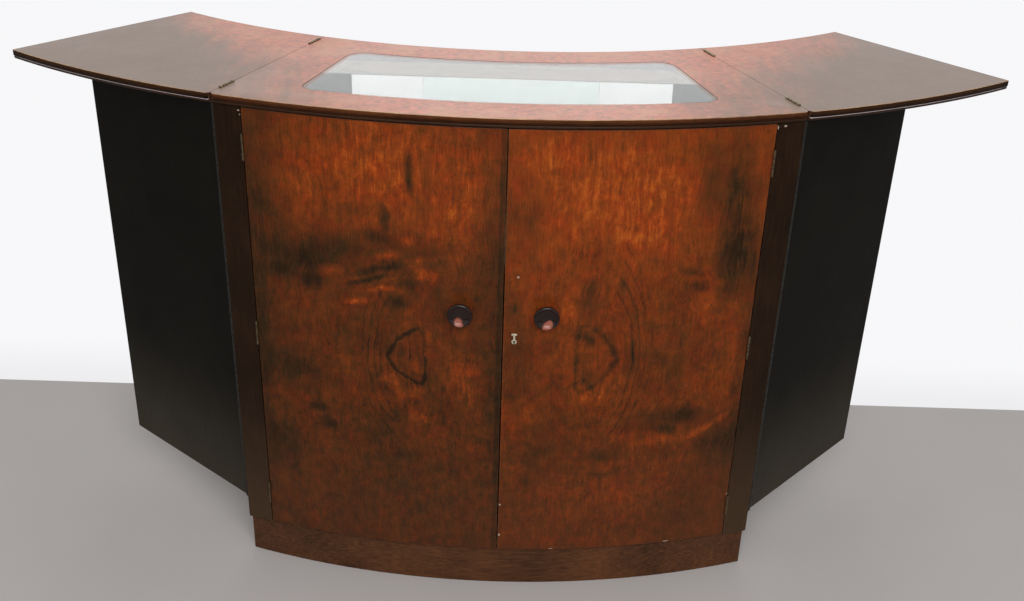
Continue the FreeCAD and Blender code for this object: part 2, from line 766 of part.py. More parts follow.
def knob(side_name, hand):
    """A turned knob, drawn with many flat sides: a neck, a wide flare and a narrow rim."""
    name = f"{side_name}_knob"
    body = new_body(f"{name}_head")
    head = body.newObject("PartDesign::AdditivePrism", f"{name}_disc")
    head.Polygon = KNOB_SIDE_COUNT
    bind(head, Circumradius="knob_radius", Height="knob_length - knob_neck_height")
    for end, height, size in (("flare", "0", "knob_flare"),
                              ("rim", "knob_length - knob_neck_height", "knob_rim")):
        doc.recompute()
        before = body.Tip
        bevel = body.newObject("PartDesign::Chamfer", f"{name}_{end}")
        bevel.Base = (before, flat_edges(before.Shape, number(height)))
        bind(bevel, Size=size)
    place(body, move(z="knob_neck_height"))
    neck = barrel(f"{name}_neck", "knob_neck_radius", "knob_neck_height", sides=KNOB_SIDE_COUNT)
    whole = fused(name, neck, body)
    place(whole, *knob_frame(hand))
    keep(name, whole)


def keyhole(name, start, depth):
    """A keyhole's waste: a round hole over a slot, depth deep from a radius outwards."""
    frame = (arc_frame("keyhole_angle"),)
    hole = rod(f"{name}_hole", "keyhole_radius", depth, *frame,
               move(start, 0, "lock_height", about="0; 1; 0", turn=90))
    slot = block(f"{name}_slot", (start, "-keyhole_radius / 2", "lock_height - keyhole_slot"),
                 (f"{start} + {depth}", "keyhole_radius / 2", "lock_height"), *frame)
    return [hole, slot]


def door(side_name, hand):
    """A curved door with small front arrises; the right one has the keyhole."""
    out, up, back = (1, 0), (0, 1), (-1, 0)
    section = [point("door_back", "door_bottom"),
               *chamfered("door_face", "door_bottom", "arris", out, up),
               *chamfered("door_face", "door_top", "arris", up, back),
               point("door_back", "door_top")]
    span = "(door_edge_angle - meeting_angle)"
    name = f"{side_name}_door"
    board = turned(f"{name}_board", section, span, f"{hand} * (meeting_angle + {span} / 2)")
    if hand > 0:
        board = cut(name, board, *keyhole("door_keyhole", "door_back - plate_thickness",
                                          "door_thickness + 2 * plate_thickness"))
    keep(name, board)


def escutcheon():
    """A small keyhole plate: a ring, a stem above it and a cross arm at the top."""
    start, clear = "door_face", "escutcheon_thickness"
    frame = (arc_frame("keyhole_angle"),)
    end = f"{start} + escutcheon_thickness"
    ring = barrel("escutcheon_ring", "escutcheon_ring", "escutcheon_thickness", *frame,
                  move(start, 0, "lock_height", about="0; 1; 0", turn=90), sides=RING_SIDE_COUNT)
    stem_top = "lock_height + escutcheon_stem_height"
    stem = block("escutcheon_stem", (start, "-escutcheon_stem / 2", "lock_height"),
                 (end, "escutcheon_stem / 2", stem_top), *frame)
    arm = block("escutcheon_arm", (start, "-escutcheon_arm / 2", f"{stem_top} - escutcheon_arm_height"),
                (end, "escutcheon_arm / 2", stem_top), *frame)
    plate = fused("escutcheon_plate", ring, stem, arm)
    keep("escutcheon", cut("escutcheon", plate, *keyhole("plate_keyhole", f"{start} - {clear}",
                                                       f"escutcheon_thickness + 2 * {clear}")))


def lock():
    """The lock on the right door's back, its sliding bolt, and the keeper on the left door."""
    frame = arc_frame()
    bolt_low, bolt_high = "lock_height - lock_bolt_height / 2", "lock_height + lock_bolt_height / 2"
    rear, front = "lock_face - lock_case_depth", "lock_face"
    thin, thick = "lock_bolt_radius - lock_bolt_thickness / 2", "lock_bolt_radius + lock_bolt_thickness / 2"
    free = "lock_bolt_clearance"
    bolt_start = "lock_case_inset + lock_bolt_end_inset"
    case = block("case_metal", (rear, "lock_case_inset", "lock_height - lock_case_height / 2"),
                 (front, "lock_case_inset + lock_case_width", "lock_height + lock_case_height / 2"), frame)
    channel = block("case_channel", (f"{thin} - {free}", "0", f"{bolt_low} - {free}"),
                    (f"{thick} + {free}", f"{bolt_start} + lock_bolt_length + {free}",
                     f"{bolt_high} + {free}"), frame)
    keep("lock_case", cut("lock_case", case, channel))
    keep("lock_bolt", block("lock_bolt", (thin, bolt_start, bolt_low),
                            (thick, f"{bolt_start} + lock_bolt_length", bolt_high), frame))
    box = block("keeper_box", (f"keeper_face - lock_case_depth", "-lock_case_inset - keeper_width",
                               "lock_height - keeper_height / 2"),
                ("keeper_face", "-lock_case_inset", "lock_height + keeper_height / 2"), frame)
    room = block("keeper_room", (f"{thin} - {free}", "-lock_case_inset - keeper_width + keeper_wall",
                                 f"{bolt_low} - {free}"),
                 (f"{thick} + {free}", "0", f"{bolt_high} + {free}"), frame)
    keep("lock_keeper", cut("lock_keeper", box, room))


def bolt_frame():
    """The axis of the left door's bolt at floor level."""
    return arc_frame(), move("bolt_axis", "-bolt_offset", 0)


def door_bolt():
    """The square bolt inside the left door, its guide on the door, and its keeper under the rail."""
    frame = bolt_frame()
    half, room = "bolt_half_width", "(bolt_half_width + bolt_clearance)"
    foot = "(bolt_top - bolt_length)"
    bar = block("bolt_bar", (f"-{half}", f"-{half}", foot), (half, half, "bolt_top"), *frame)
    grip = block("bolt_grip", (f"-{half} - bolt_grip_length", f"-{half}", foot),
                 (f"-{half}", half, f"{foot} + bolt_grip_height"), *frame)
    keep("door_bolt", fused("door_bolt", bar, grip))
    plate_face, plate_back = "bolt_face - bolt_axis", "bolt_face - bolt_axis - bolt_plate_thickness"
    plate_top = "(bolt_top - bolt_plate_drop)"
    metal = [block("guide_plate", (plate_back, "-bolt_plate_width / 2", f"{plate_top} - bolt_plate_height"),
                   (plate_face, "bolt_plate_width / 2", plate_top), *frame)]
    outer = f"({room} + bolt_loop_wall)"
    lower_loop = f"{foot} + bolt_grip_height + bolt_travel + bolt_clearance"
    for low in (f"{plate_top} - bolt_loop_height", lower_loop):
        metal.append(block("guide_loop", (f"-{outer}", f"-{outer}", low),
                           (plate_back, outer, f"{low} + bolt_loop_height"), *frame))
    track = block("guide_track", (f"-{room}", f"-{room}", foot),
                  (room, room, "bolt_top"), *frame)
    keep("bolt_guide", cut("bolt_guide", fused("guide_metal", *metal), track))
    strip = block("keeper_strip", ("-bolt_keeper_width / 2", "-bolt_keeper_length / 2",
                                   "rail_bottom - bolt_keeper_thickness"),
                  ("bolt_keeper_width / 2", "bolt_keeper_length / 2", "rail_bottom"), *frame)
    hole = block("keeper_hole", (f"-{room}", f"-{room}", "bolt_top"),
                 (room, room, "bolt_top + bolt_travel"), *frame)
    keep("bolt_keeper", cut("bolt_keeper", strip, hole))


# ---------------------------------------------------------------- the wings
def wing(side_name, hand):
    """A flat gate wing, standing open; its free upright edge has both arrises taken off."""
    low, high = "wing_hinge_proud", "wing_hinge_proud + wing_thickness"
    end = "(wing_start + wing_width)"
    along = (0, -hand)
    path = [point(high, f"{-hand} * wing_start"), point(low, f"{-hand} * wing_start"),
            *chamfered(low, f"{-hand} * {end}", "wing_arris", along, (1, 0)),
            *chamfered(high, f"{-hand} * {end}", "wing_arris", (1, 0), (0, hand))]
    name = f"{side_name}_wing"
    keep(name, raised(name, path, "wing_bottom", "wing_top",
                      *wing_hinge_frame(hand, f"{side_name}_wing_opening")))


# ---------------------------------------------------------------- the whole cabinet
def build():
    centre_top()
    glass_panel()
    bottom_board()
    curved_boards()
    glue_blocks()
    keep("shelf_cleats", group("shelf_cleats", [cleat(hand, shelf) for _, hand in PIECE_SIDES
                                                for shelf in ("lower_shelf", "upper_shelf")]))
    for side_name, hand in PIECE_SIDES:
        stile(side_name, hand)
        side_boards(side_name, hand)
        door(side_name, hand)
        knob(side_name, hand)
        leaf(side_name, hand)
        wing(side_name, hand)
        butt_hinges(side_name, hand)
        piano_hinge(side_name, hand)
    escutcheon()
    lock()
    door_bolt()
    doc.recompute()


def check():
    """Stop if anything in the document failed or a piece has no sound shape."""
    for thing in doc.Objects:
        if "Invalid" in thing.State or "Error" in thing.State:
            raise RuntimeError(f"{thing.Label} failed: {thing.State}")
    for name, piece in pieces.items():
        if piece.Shape.isNull() or not piece.Shape.isValid():
            raise RuntimeError(f"{name} has no sound shape")


def export():
    os.makedirs("parts", exist_ok=True)
    for name, piece in pieces.items():
        piece.Shape.exportStep(f"parts/{name}.step")


build()
check()
export()
print(len(pieces), "pieces written")
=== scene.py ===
"""Looks of a bow-fronted bar cabinet with folding leaves: finishes, fittings, light and camera."""
import math

import bmesh
import bpy
from mathutils import Matrix, Vector


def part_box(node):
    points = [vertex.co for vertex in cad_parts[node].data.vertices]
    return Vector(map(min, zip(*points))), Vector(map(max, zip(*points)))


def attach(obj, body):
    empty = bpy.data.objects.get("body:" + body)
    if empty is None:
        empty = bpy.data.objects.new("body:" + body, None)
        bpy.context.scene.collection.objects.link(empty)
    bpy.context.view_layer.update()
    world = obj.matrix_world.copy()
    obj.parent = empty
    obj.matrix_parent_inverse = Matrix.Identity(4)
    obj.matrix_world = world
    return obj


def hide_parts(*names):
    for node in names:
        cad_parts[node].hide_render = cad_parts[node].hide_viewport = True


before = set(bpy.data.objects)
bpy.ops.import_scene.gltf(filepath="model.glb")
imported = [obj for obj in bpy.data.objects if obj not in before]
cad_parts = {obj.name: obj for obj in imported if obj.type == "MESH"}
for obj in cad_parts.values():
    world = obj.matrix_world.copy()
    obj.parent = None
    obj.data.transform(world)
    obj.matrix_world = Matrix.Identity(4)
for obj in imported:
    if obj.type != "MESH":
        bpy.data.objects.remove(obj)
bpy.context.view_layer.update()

MM = 0.001
UP = Vector((0, 0, 1))
SIDES = (("left", -1), ("right", 1))
TOP_RADIUS, TOP_REAR_RADIUS, DOOR_RADIUS = 1.702, 1.262, 1.693
TOP_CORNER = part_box("centre_top")[0]                # its lowest and foremost
AXIS = Vector((0, TOP_CORNER.y + TOP_RADIUS, 0))    # the foot of the axis of every curved board


# ---------------- laying out nodes
class Layout:
    """A node tree being filled, with short calls for the nodes that the finishes use."""

    def __init__(self, tree):
        self.tree = tree
        self.tree.nodes.clear()

    def add(self, kind, inputs=None, **settings):
        node = self.tree.nodes.new("ShaderNode" + kind)
        for name, value in settings.items():
            setattr(node, name, value)
        self.fill(node, inputs or {})
        return node

    def fill(self, node, inputs):
        for socket, value in inputs.items():
            self.feed(node.inputs[socket], value)

    def feed(self, socket, value):
        """Links a socket to another one or gives it a plain value. Colours come without alpha."""
        if isinstance(value, bpy.types.NodeSocket):
            self.tree.links.new(value, socket)
        else:
            socket.default_value = (*value, 1) if socket.type == "RGBA" else value

    def math(self, operation, *values, clamp=False):
        node = self.add("Math", dict(enumerate(values)), operation=operation, use_clamp=clamp)
        return node.outputs[0]

    def times(self, first, *others):
        """The product of several values."""
        for value in others:
            first = self.math("MULTIPLY", first, value)
        return first

    def plus(self, base, value, strength, clamp=False):
        """The base with a value added at the given strength."""
        return self.math("MULTIPLY_ADD", value, strength, base, clamp=clamp)

    def vary(self, base, noise, strength, clamp=False):
        """The base moved up and down by a noise that swings about a half."""
        return self.plus(base, self.math("SUBTRACT", noise, 0.5), strength, clamp)

    def vector(self, operation, first, second=None):
        """Vector maths. LENGTH and DOT_PRODUCT give a number."""
        inputs = {0: first}
        if second is not None:
            inputs["Scale" if operation == "SCALE" else 1] = second
        node = self.add("VectorMath", inputs, operation=operation)
        return node.outputs["Value" if operation in ("LENGTH", "DOT_PRODUCT") else "Vector"]

    def parts(self, vector):
        return self.add("SeparateXYZ", {0: vector}).outputs

    def blend(self, amount, first, second, kind="MIX"):
        """Colour first turning into second."""
        node = self.add("Mix", {0: amount, 6: first, 7: second}, data_type="RGBA", blend_type=kind)
        return node.outputs[2]

    def ease(self, value, low, high, bottom=0.0, top=1.0):
        """A soft step from bottom to top while value goes from low to high."""
        return self.add("MapRange", {0: value, 1: low, 2: high, 3: bottom, 4: top},
                        interpolation_type="SMOOTHSTEP").outputs[0]

    def noise(self, vector, scale, detail=3.0, roughness=0.55, distortion=0.0, output=0):
        node = self.add("TexNoise", {"Vector": vector, "Scale": scale, "Detail": detail,
                                     "Roughness": roughness, "Distortion": distortion})
        return node.outputs[output]

    def mapped(self, vector, scale=(1, 1, 1), turn=(0, 0, 0), shift=(0, 0, 0), kind="POINT"):
        return self.add("Mapping", {"Vector": vector, "Location": shift, "Rotation": turn,
                                    "Scale": scale}, vector_type=kind).outputs[0]

    def round_fade(self, vector):
        """1 in the middle of the vector's space, falling to 0 at a distance of one."""
        return self.add("TexGradient", {0: vector}, gradient_type="SPHERICAL").outputs[1]

    def ramp(self, value, *stops):
        node = self.add("ValToRGB", {0: value})
        marks = node.color_ramp.elements
        while len(marks) < len(stops):
            marks.new(0.5)
        for mark, (place, colour) in zip(marks, stops):
            mark.position = place
            mark.color = (*colour, 1.0)
        return node.outputs[0]

    def bump(self, skin, height, strength, distance=0.002):
        """Gives a Principled shader a relief."""
        node = self.add("Bump", {"Strength": strength, "Distance": distance, "Height": height})
        self.fill(skin, {"Normal": node.outputs[0]})


def new_group(name, inputs, outputs):
    """A shader node group with named sockets: its layout, its inlet's sockets and its outlet.

    It takes a Vector first. Of the other inputs, those without a default are vectors too, and the
    rest are numbers. An output called Vector is a vector, and the rest are numbers.
    """
    tree = bpy.data.node_groups.new(name, "ShaderNodeTree")
    for label, default in {"Vector": None, **inputs}.items():
        kind = "NodeSocketVector" if default is None else "NodeSocketFloat"
        socket = tree.interface.new_socket(label, in_out="INPUT", socket_type=kind)
        if default is not None:
            socket.default_value = default
    for label in outputs:
        kind = "NodeSocketVector" if label == "Vector" else "NodeSocketFloat"
        tree.interface.new_socket(label, in_out="OUTPUT", socket_type=kind)
    layout = Layout(tree)
    inlet = tree.nodes.new("NodeGroupInput")
    outlet = tree.nodes.new("NodeGroupOutput")
    return layout, inlet.outputs, outlet


def close_group(layout, outlet, **values):
    """Feeds a group's named outputs and gives back its tree."""
    layout.fill(outlet, values)
    return layout.tree


def place_group(layout, tree, **values):
    node = layout.add("Group", node_tree=tree)
    layout.fill(node, values)
    return node.outputs


# ---------------- effects that finishes share
def wood_grain_group():
    """Fine fibres that run along Z of the vector given, and short dark pores among them."""
    lay, inlet, outlet = new_group("wood grain", {"Fineness": 500.0},
                                   ("Fibre", "Pores", "Height"))
    scaled = lay.vector("SCALE", inlet["Vector"], inlet["Fineness"])
    along = lay.mapped(scaled, scale=(1, 1, 0.045))
    fibre = lay.noise(along, 1.0, detail=4.0, roughness=0.62)
    short = lay.mapped(scaled, scale=(1.7, 1.7, 0.14), shift=(3.1, 7.7, 1.3))
    pores = lay.ease(lay.noise(short, 1.0, detail=2.0), 0.6, 0.74)
    return close_group(lay, outlet, Fibre=fibre, Pores=pores, Height=lay.plus(fibre, pores, -0.8))


def figure_group():
    """Clouds, and coordinates that swirl, as in a veneer cut across a burl or a crotch."""
    lay, inlet, outlet = new_group("veneer figure", {"Size": 8.0, "Swirl": 0.08},
                                   ("Clouds", "Vector"))
    wander = lay.noise(inlet["Vector"], inlet["Size"], detail=5.0, roughness=0.58, output=1)
    pushed = lay.vector("SCALE", lay.vector("SUBTRACT", wander, (0.5, 0.5, 0.5)), inlet["Swirl"])
    warped = lay.vector("ADD", inlet["Vector"], pushed)
    clouds = lay.noise(warped, 7.0, detail=4.0, roughness=0.6)
    return close_group(lay, outlet, Clouds=clouds, Vector=warped)


def knot_group():
    """The dark, broken outline of a knot with one upright side and a blunt point away from it.

    Middle and Spread place it, and a negative X in Spread turns the point the other way. Lines are
    the growth lines beyond the point.
    """
    lay, inlet, outlet = new_group("knot outline", {"Middle": None, "Spread": None},
                                   ("Outline", "Lines", "Inside"))
    unit = lay.mapped(inlet["Vector"], inlet["Spread"], shift=inlet["Middle"], kind="TEXTURE")
    towards_point = lay.parts(unit)[0]
    upright = lay.times(towards_point, -1.0)
    oval = lay.mapped(unit, scale=(1.73, 1, 1.12), shift=(-0.73, 0, 0), kind="TEXTURE")
    rounded = lay.vector("LENGTH", oval)
    pointed = lay.vector("DOT_PRODUCT", lay.vector("ABSOLUTE", oval), (1, 0, 1))
    blunt = lay.plus(rounded, lay.math("SUBTRACT", pointed, rounded), 0.42)
    radius = lay.math("SMOOTH_MAX", upright, blunt, 0.5)
    off = lay.math("ABSOLUTE", lay.math("SUBTRACT", radius, 1.0))
    uneven = lay.noise(inlet["Vector"], 26.0, detail=3.0)
    broken = lay.ease(uneven, 0.28, 0.56, 0.42, 1.0)
    thickness = lay.ease(uneven, 0.4, 0.66, 0.09, 0.2)
    outline = lay.times(lay.ease(off, 0.0, thickness, 1.0, 0.0), broken)
    reach = lay.vector("LENGTH", lay.vector("MULTIPLY", unit, (1, 0, 0.72)))
    wave = lay.math("SINE", lay.times(reach, 19.0))
    beyond = lay.times(lay.ease(reach, 1.25, 1.6), lay.ease(reach, 2.0, 3.0, 1.0, 0.0),
                       lay.ease(towards_point, 0.5, 1.2), broken)
    lines = lay.times(lay.ease(wave, 0.3, 1.0), beyond)
    inside = lay.ease(radius, 0.6, 1.0, 1.0, 0.0)
    return close_group(lay, outlet, Outline=outline, Lines=lines, Inside=inside)


def parting_group():
    """Coordinates drawn together near a knot, so that the grain parts and flows round it."""
    lay, inlet, outlet = new_group("grain round a knot",
                                   {"Middle": None, "Spread": None, "Pull": 0.8}, ("Vector",))
    unit = lay.mapped(inlet["Vector"], inlet["Spread"], shift=inlet["Middle"], kind="TEXTURE")
    away = lay.vector("SUBTRACT", inlet["Vector"], inlet["Middle"])
    pull = lay.times(lay.round_fade(unit), inlet["Pull"], -1.0)
    moved = lay.vector("ADD", inlet["Vector"], lay.vector("SCALE", away, pull))
    return close_group(lay, outlet, Vector=moved)


def worn_edge_group():
    """How far a point lies on a sharp edge, broken up as rubbing breaks it."""
    lay, inlet, outlet = new_group("worn edge", {"Width": 0.0015, "Amount": 0.5}, ("Mask",))
    rounded = lay.add("Bevel", {"Radius": inlet["Width"]}, samples=4).outputs[0]
    true = lay.add("NewGeometry").outputs["Normal"]
    edge = lay.ease(lay.vector("DOT_PRODUCT", rounded, true), 0.8, 0.985, 1.0, 0.0)
    rubbed = lay.ease(lay.noise(inlet["Vector"], 55.0, detail=4.0, roughness=0.7), 0.35, 0.7)
    mask = lay.math("MULTIPLY", lay.times(edge, rubbed), inlet["Amount"], clamp=True)
    return close_group(lay, outlet, Mask=mask)


def handled_group():
    """The uneven gloss of a rubbed and dusted surface, and a slight unevenness of its skin."""
    lay, inlet, outlet = new_group("handled surface", {"Gloss": 0.3, "Spread": 0.12},
                                   ("Roughness", "Height"))
    smears = lay.noise(inlet["Vector"], 9.0, detail=4.0, roughness=0.65)
    fine = lay.noise(inlet["Vector"], 160.0, detail=2.0)
    uneven = lay.math("ADD", lay.times(smears, 0.75), lay.times(fine, 0.25))
    swing = lay.times(lay.math("SUBTRACT", uneven, 0.5), inlet["Spread"])
    return close_group(lay, outlet, Roughness=lay.math("ADD", inlet["Gloss"], swing, clamp=True),
                       Height=lay.noise(inlet["Vector"], 28.0, detail=2.0))


WOOD_GRAIN = wood_grain_group()
VENEER_FIGURE = figure_group()
KNOT_OUTLINE = knot_group()
PARTED_GRAIN = parting_group()
WORN_EDGE = worn_edge_group()
HANDLED = handled_group()


# ---------------- what finishes are made of
def new_finish(name):
    """A material, its layout, its object coordinates and its Principled shader."""
    material = bpy.data.materials.new(name)
    material.use_nodes = True
    lay = Layout(material.node_tree)
    coordinates = lay.add("TexCoord").outputs["Object"]
    skin = lay.add("BsdfPrincipled")
    lay.add("OutputMaterial", {0: skin.outputs[0]})
    return material, lay, coordinates, skin


def mix_surface(lay, amount, first, second):
    """Puts a mix of two shaders at the material's output."""
    outlet = next(node for node in lay.tree.nodes if node.type == "OUTPUT_MATERIAL")
    mixed = lay.add("MixShader", {0: amount, 1: first.outputs[0], 2: second.outputs[0]})
    lay.feed(outlet.inputs[0], mixed.outputs[0])


def tinted(colour, factor):
    return tuple(factor * part for part in colour)


def flattened(lay, coordinates):
    """The coordinates without their depth, so that a pattern doesn't change across a bow."""
    return lay.vector("MULTIPLY", coordinates, (1, 0, 1))


def middle_of(x, z):
    """A point on a flattened face, from mm."""
    return x * MM, 0, z * MM


def spread_of(wide, high):
    """Half sizes on a flattened face, from mm. The depth is any large number."""
    return wide * MM, 10, high * MM


def round_patch(lay, vector, x, z, wide, high, turn=0):
    """1 at (x, z), fading to 0 at the half sizes from there, in mm, turned by some degrees."""
    unit = lay.mapped(vector, scale=spread_of(wide, high), turn=(0, math.radians(turn), 0),
                      shift=middle_of(x, z), kind="TEXTURE")
    return lay.round_fade(unit)


def add_patches(lay, tone, vector, patches):
    """Lighter and darker clouds laid on a tone."""
    for strength, *place in patches:
        tone = lay.plus(tone, round_patch(lay, vector, *place), strength)
    return tone


def add_pale_spots(lay, wood, vector, pale_spots, colour=(0.55, 0.42, 0.32), most=0.6, soft=(0.1, 0.5)):
    """Small spots of a paler colour, each given by x and z of its middle and its half sizes. They
    are chips, and on the knobs a painted reflection.
    """
    spotted = 0.0
    for pale_spot in pale_spots:
        spotted = lay.math("ADD", spotted, lay.ease(round_patch(lay, vector, *pale_spot), *soft))
    return lay.blend(lay.math("MINIMUM", spotted, most), wood, colour)


def wear_edges(lay, here, wood, amount, colour, width=0.0016):
    """Wood whose edges are rubbed through to another colour."""
    worn = place_group(lay, WORN_EDGE, Vector=here, Width=width, Amount=amount)
    return lay.blend(worn["Mask"], wood, colour)


def varnish(lay, here, skin, gloss, spread, level, fibres, rise, strength):
    """The uneven gloss of old varnish, with the relief of the fibres under it."""
    handled = place_group(lay, HANDLED, Vector=here, Gloss=gloss, Spread=spread)
    lay.fill(skin, {"Roughness": handled["Roughness"], "Specular IOR Level": level})
    lay.bump(skin, lay.plus(handled["Height"], fibres, rise), strength)


# ---------------- the doors' veneer
DOOR_TONES = ((0.0, (0.009, 0.006, 0.0028)), (0.25, (0.04, 0.0182, 0.006)),
              (0.5, (0.118, 0.029, 0.0062)), (0.75, (0.24, 0.045, 0.0066)),
              (1.0, (0.42, 0.098, 0.012)))
# Painted light: each door's tone rises towards the top, and the right door is lighter than the
# left.
DOOR_PAINTED_LIGHT_LEVELS = {"left": (0.39, 0.5), "right": (0.49, 0.58)}     # the tone below and above
DOOR_SEEDS = {"left": 3.7, "right": 9.1}
# Painted shade: the doors turn darker and duller towards the foot.
DOOR_FOOT_PAINTED_SHADE = (0.086, 0.034, 0.017)
LEFT_LIP = (-0.0135, -0.0115)       # in x, where the left door's dark lip begins

# The tables that follow are in mm and degrees.
# Clouds: strength, x and z of the middle, half sizes, and a turn if there is one.
# The first, widest pale cloud of each door, high up, is a painted highlight.
DOOR_PATCHES = {
    "left": ((0.3, -250, 980, 260, 190), (0.12, -70, 960, 60, 170), (-0.22, -480, 900, 70, 220),
        (-0.64, -185, 985, 10, 46, 2), (-0.6, -184, 945, 9, 30, -2), (-0.45, -232, 872, 13, 38),
        (-0.25, -250, 836, 60, 16, 8), (-0.34, -395, 770, 90, 60), (-0.4, -388, 722, 36, 26),
        (-0.26, -452, 742, 44, 24), (-0.3, -208, 698, 30, 22), (-0.4, -246, 766, 78, 11, -16),
        (-0.42, -272, 740, 66, 10, -16), (-0.3, -192, 738, 34, 18), (-0.16, -480, 640, 80, 240),
        (-0.26, -300, 806, 230, 64), (-0.05, -300, 640, 200, 90), (0.44, -345, 755, 34, 20, -10),
        (0.44, -228, 799, 34, 15, -14), (0.36, -160, 762, 34, 20, 20), (0.34, -188, 832, 22, 18),
        (0.42, -292, 691, 40, 10, -10), (0.42, -246, 722, 40, 9, -10),
        (0.2, -160, 790, 60, 12, -14), (0.02, -270, 410, 46, 40), (-0.3, -385, 430, 34, 16),
        (-0.3, -364, 396, 24, 20), (-0.2, -410, 510, 100, 70), (-0.05, -225, 400, 90, 60),
        (-0.16, -205, 335, 66, 24), (-0.22, -470, 330, 50, 90), (-0.18, -442, 280, 20, 90),
        (0.3, -220, 512, 22, 40, -38), (0.2, -185, 480, 44, 30), (0.26, -80, 530, 50, 70),
        (0.3, -165, 436, 34, 26), (0.16, -395, 925, 40, 50), (0.16, -100, 860, 60, 90),
        (-0.16, -30, 700, 44, 400), (-0.16, -4, 560, 26, 560), (-0.06, -300, 200, 280, 150),
        (-0.24, -170, 205, 12, 26), (-0.2, -500, 560, 30, 620), (-0.14, -130, 700, 26, 60),
        (-0.14, -197, 585, 15, 24), (0.2, -174, 566, 8, 32), (0.2, -150, 622, 9, 26, 12),
        (0.08, -150, 395, 60, 50), (-0.14, -275, 886, 85, 24)),
    "right": ((0.22, 190, 960, 260, 190), (0.1, 290, 900, 180, 160), (-0.46, 452, 850, 52, 190),
        (-0.26, 470, 790, 70, 100), (-0.26, 385, 960, 34, 130), (-0.26, 430, 960, 50, 130),
        (-0.3, 172, 716, 28, 36), (-0.28, 173, 752, 18, 24), (-0.3, 385, 740, 32, 18),
        (-0.32, 368, 772, 36, 12, 8), (-0.2, 190, 822, 40, 50), (-0.22, 48, 890, 44, 110),
        (-0.18, 20, 700, 30, 70), (-0.16, 30, 560, 34, 190), (0.26, 130, 700, 20, 60, 4),
        (0.1, 135, 600, 34, 120), (0.22, 185, 497, 66, 34), (0.22, 232, 528, 26, 44, 36),
        (0.2, 400, 700, 34, 50), (-0.24, 345, 430, 130, 40), (-0.28, 390, 440, 44, 32),
        (-0.28, 345, 404, 34, 16, 10), (0.26, 330, 376, 90, 15, -6), (0.32, 440, 405, 70, 12, -28),
        (-0.36, 480, 350, 74, 92), (-0.26, 215, 345, 50, 28), (-0.24, 215, 300, 40, 14),
        (-0.26, 52, 280, 22, 14), (-0.34, 262, 590, 9, 56, -5), (-0.12, 360, 560, 130, 90),
        (0.12, 440, 560, 90, 60), (-0.12, 100, 380, 110, 90), (-0.18, 440, 190, 120, 140),
        (0.2, 430, 745, 22, 14), (-0.26, 166, 634, 22, 16, 30), (-0.22, 500, 600, 26, 560),
        (-0.2, 235, 740, 16, 30), (-0.14, 350, 720, 60, 50), (0.05, 120, 210, 160, 120),
        (0.08, 260, 250, 120, 60), (-0.16, 6, 860, 12, 200), (-0.24, 177, 622, 15, 15),
        (-0.22, 172, 531, 18, 14), (0.11, 250, 840, 90, 60), (0.12, 70, 1005, 70, 60),
        (0.08, 40, 420, 50, 90), (0.07, 190, 800, 90, 70), (-0.24, 19, 900, 10, 26),
        (-0.2, 22, 700, 12, 16))}
# Knots: middle, half sizes and darkness. A negative half width turns the point to the left.
DOOR_KNOTS = {"left": ((-194, 578), (-38, 60), 0.36), "right": ((190, 583), (42, 70), 0.21)}
# Places that the grain flows round: x and z of the middle, half sizes and pull.
GRAIN_PARTS = {
    "left": ((-190, 580, 120, 200, 0.85), (-388, 722, 80, 60, 0.9), (-225, 765, 150, 60, 0.8),
             (-250, 410, 100, 90, 0.5), (-375, 415, 70, 60, 0.8)),
    "right": ((190, 583, 120, 200, 0.85), (385, 740, 80, 50, 0.85), (172, 720, 50, 70, 0.8),
              (390, 440, 90, 60, 0.85), (215, 345, 70, 50, 0.7))}
# Pale chips: x and z of the middle and half sizes.
RIGHT_NICKS = ((27, 767, 3, 3), (507, 213, 4, 4), (4, 222, 3, 3), (4, 141, 3, 4),
               (375, 104, 8, 2), (118, 103, 6, 2))


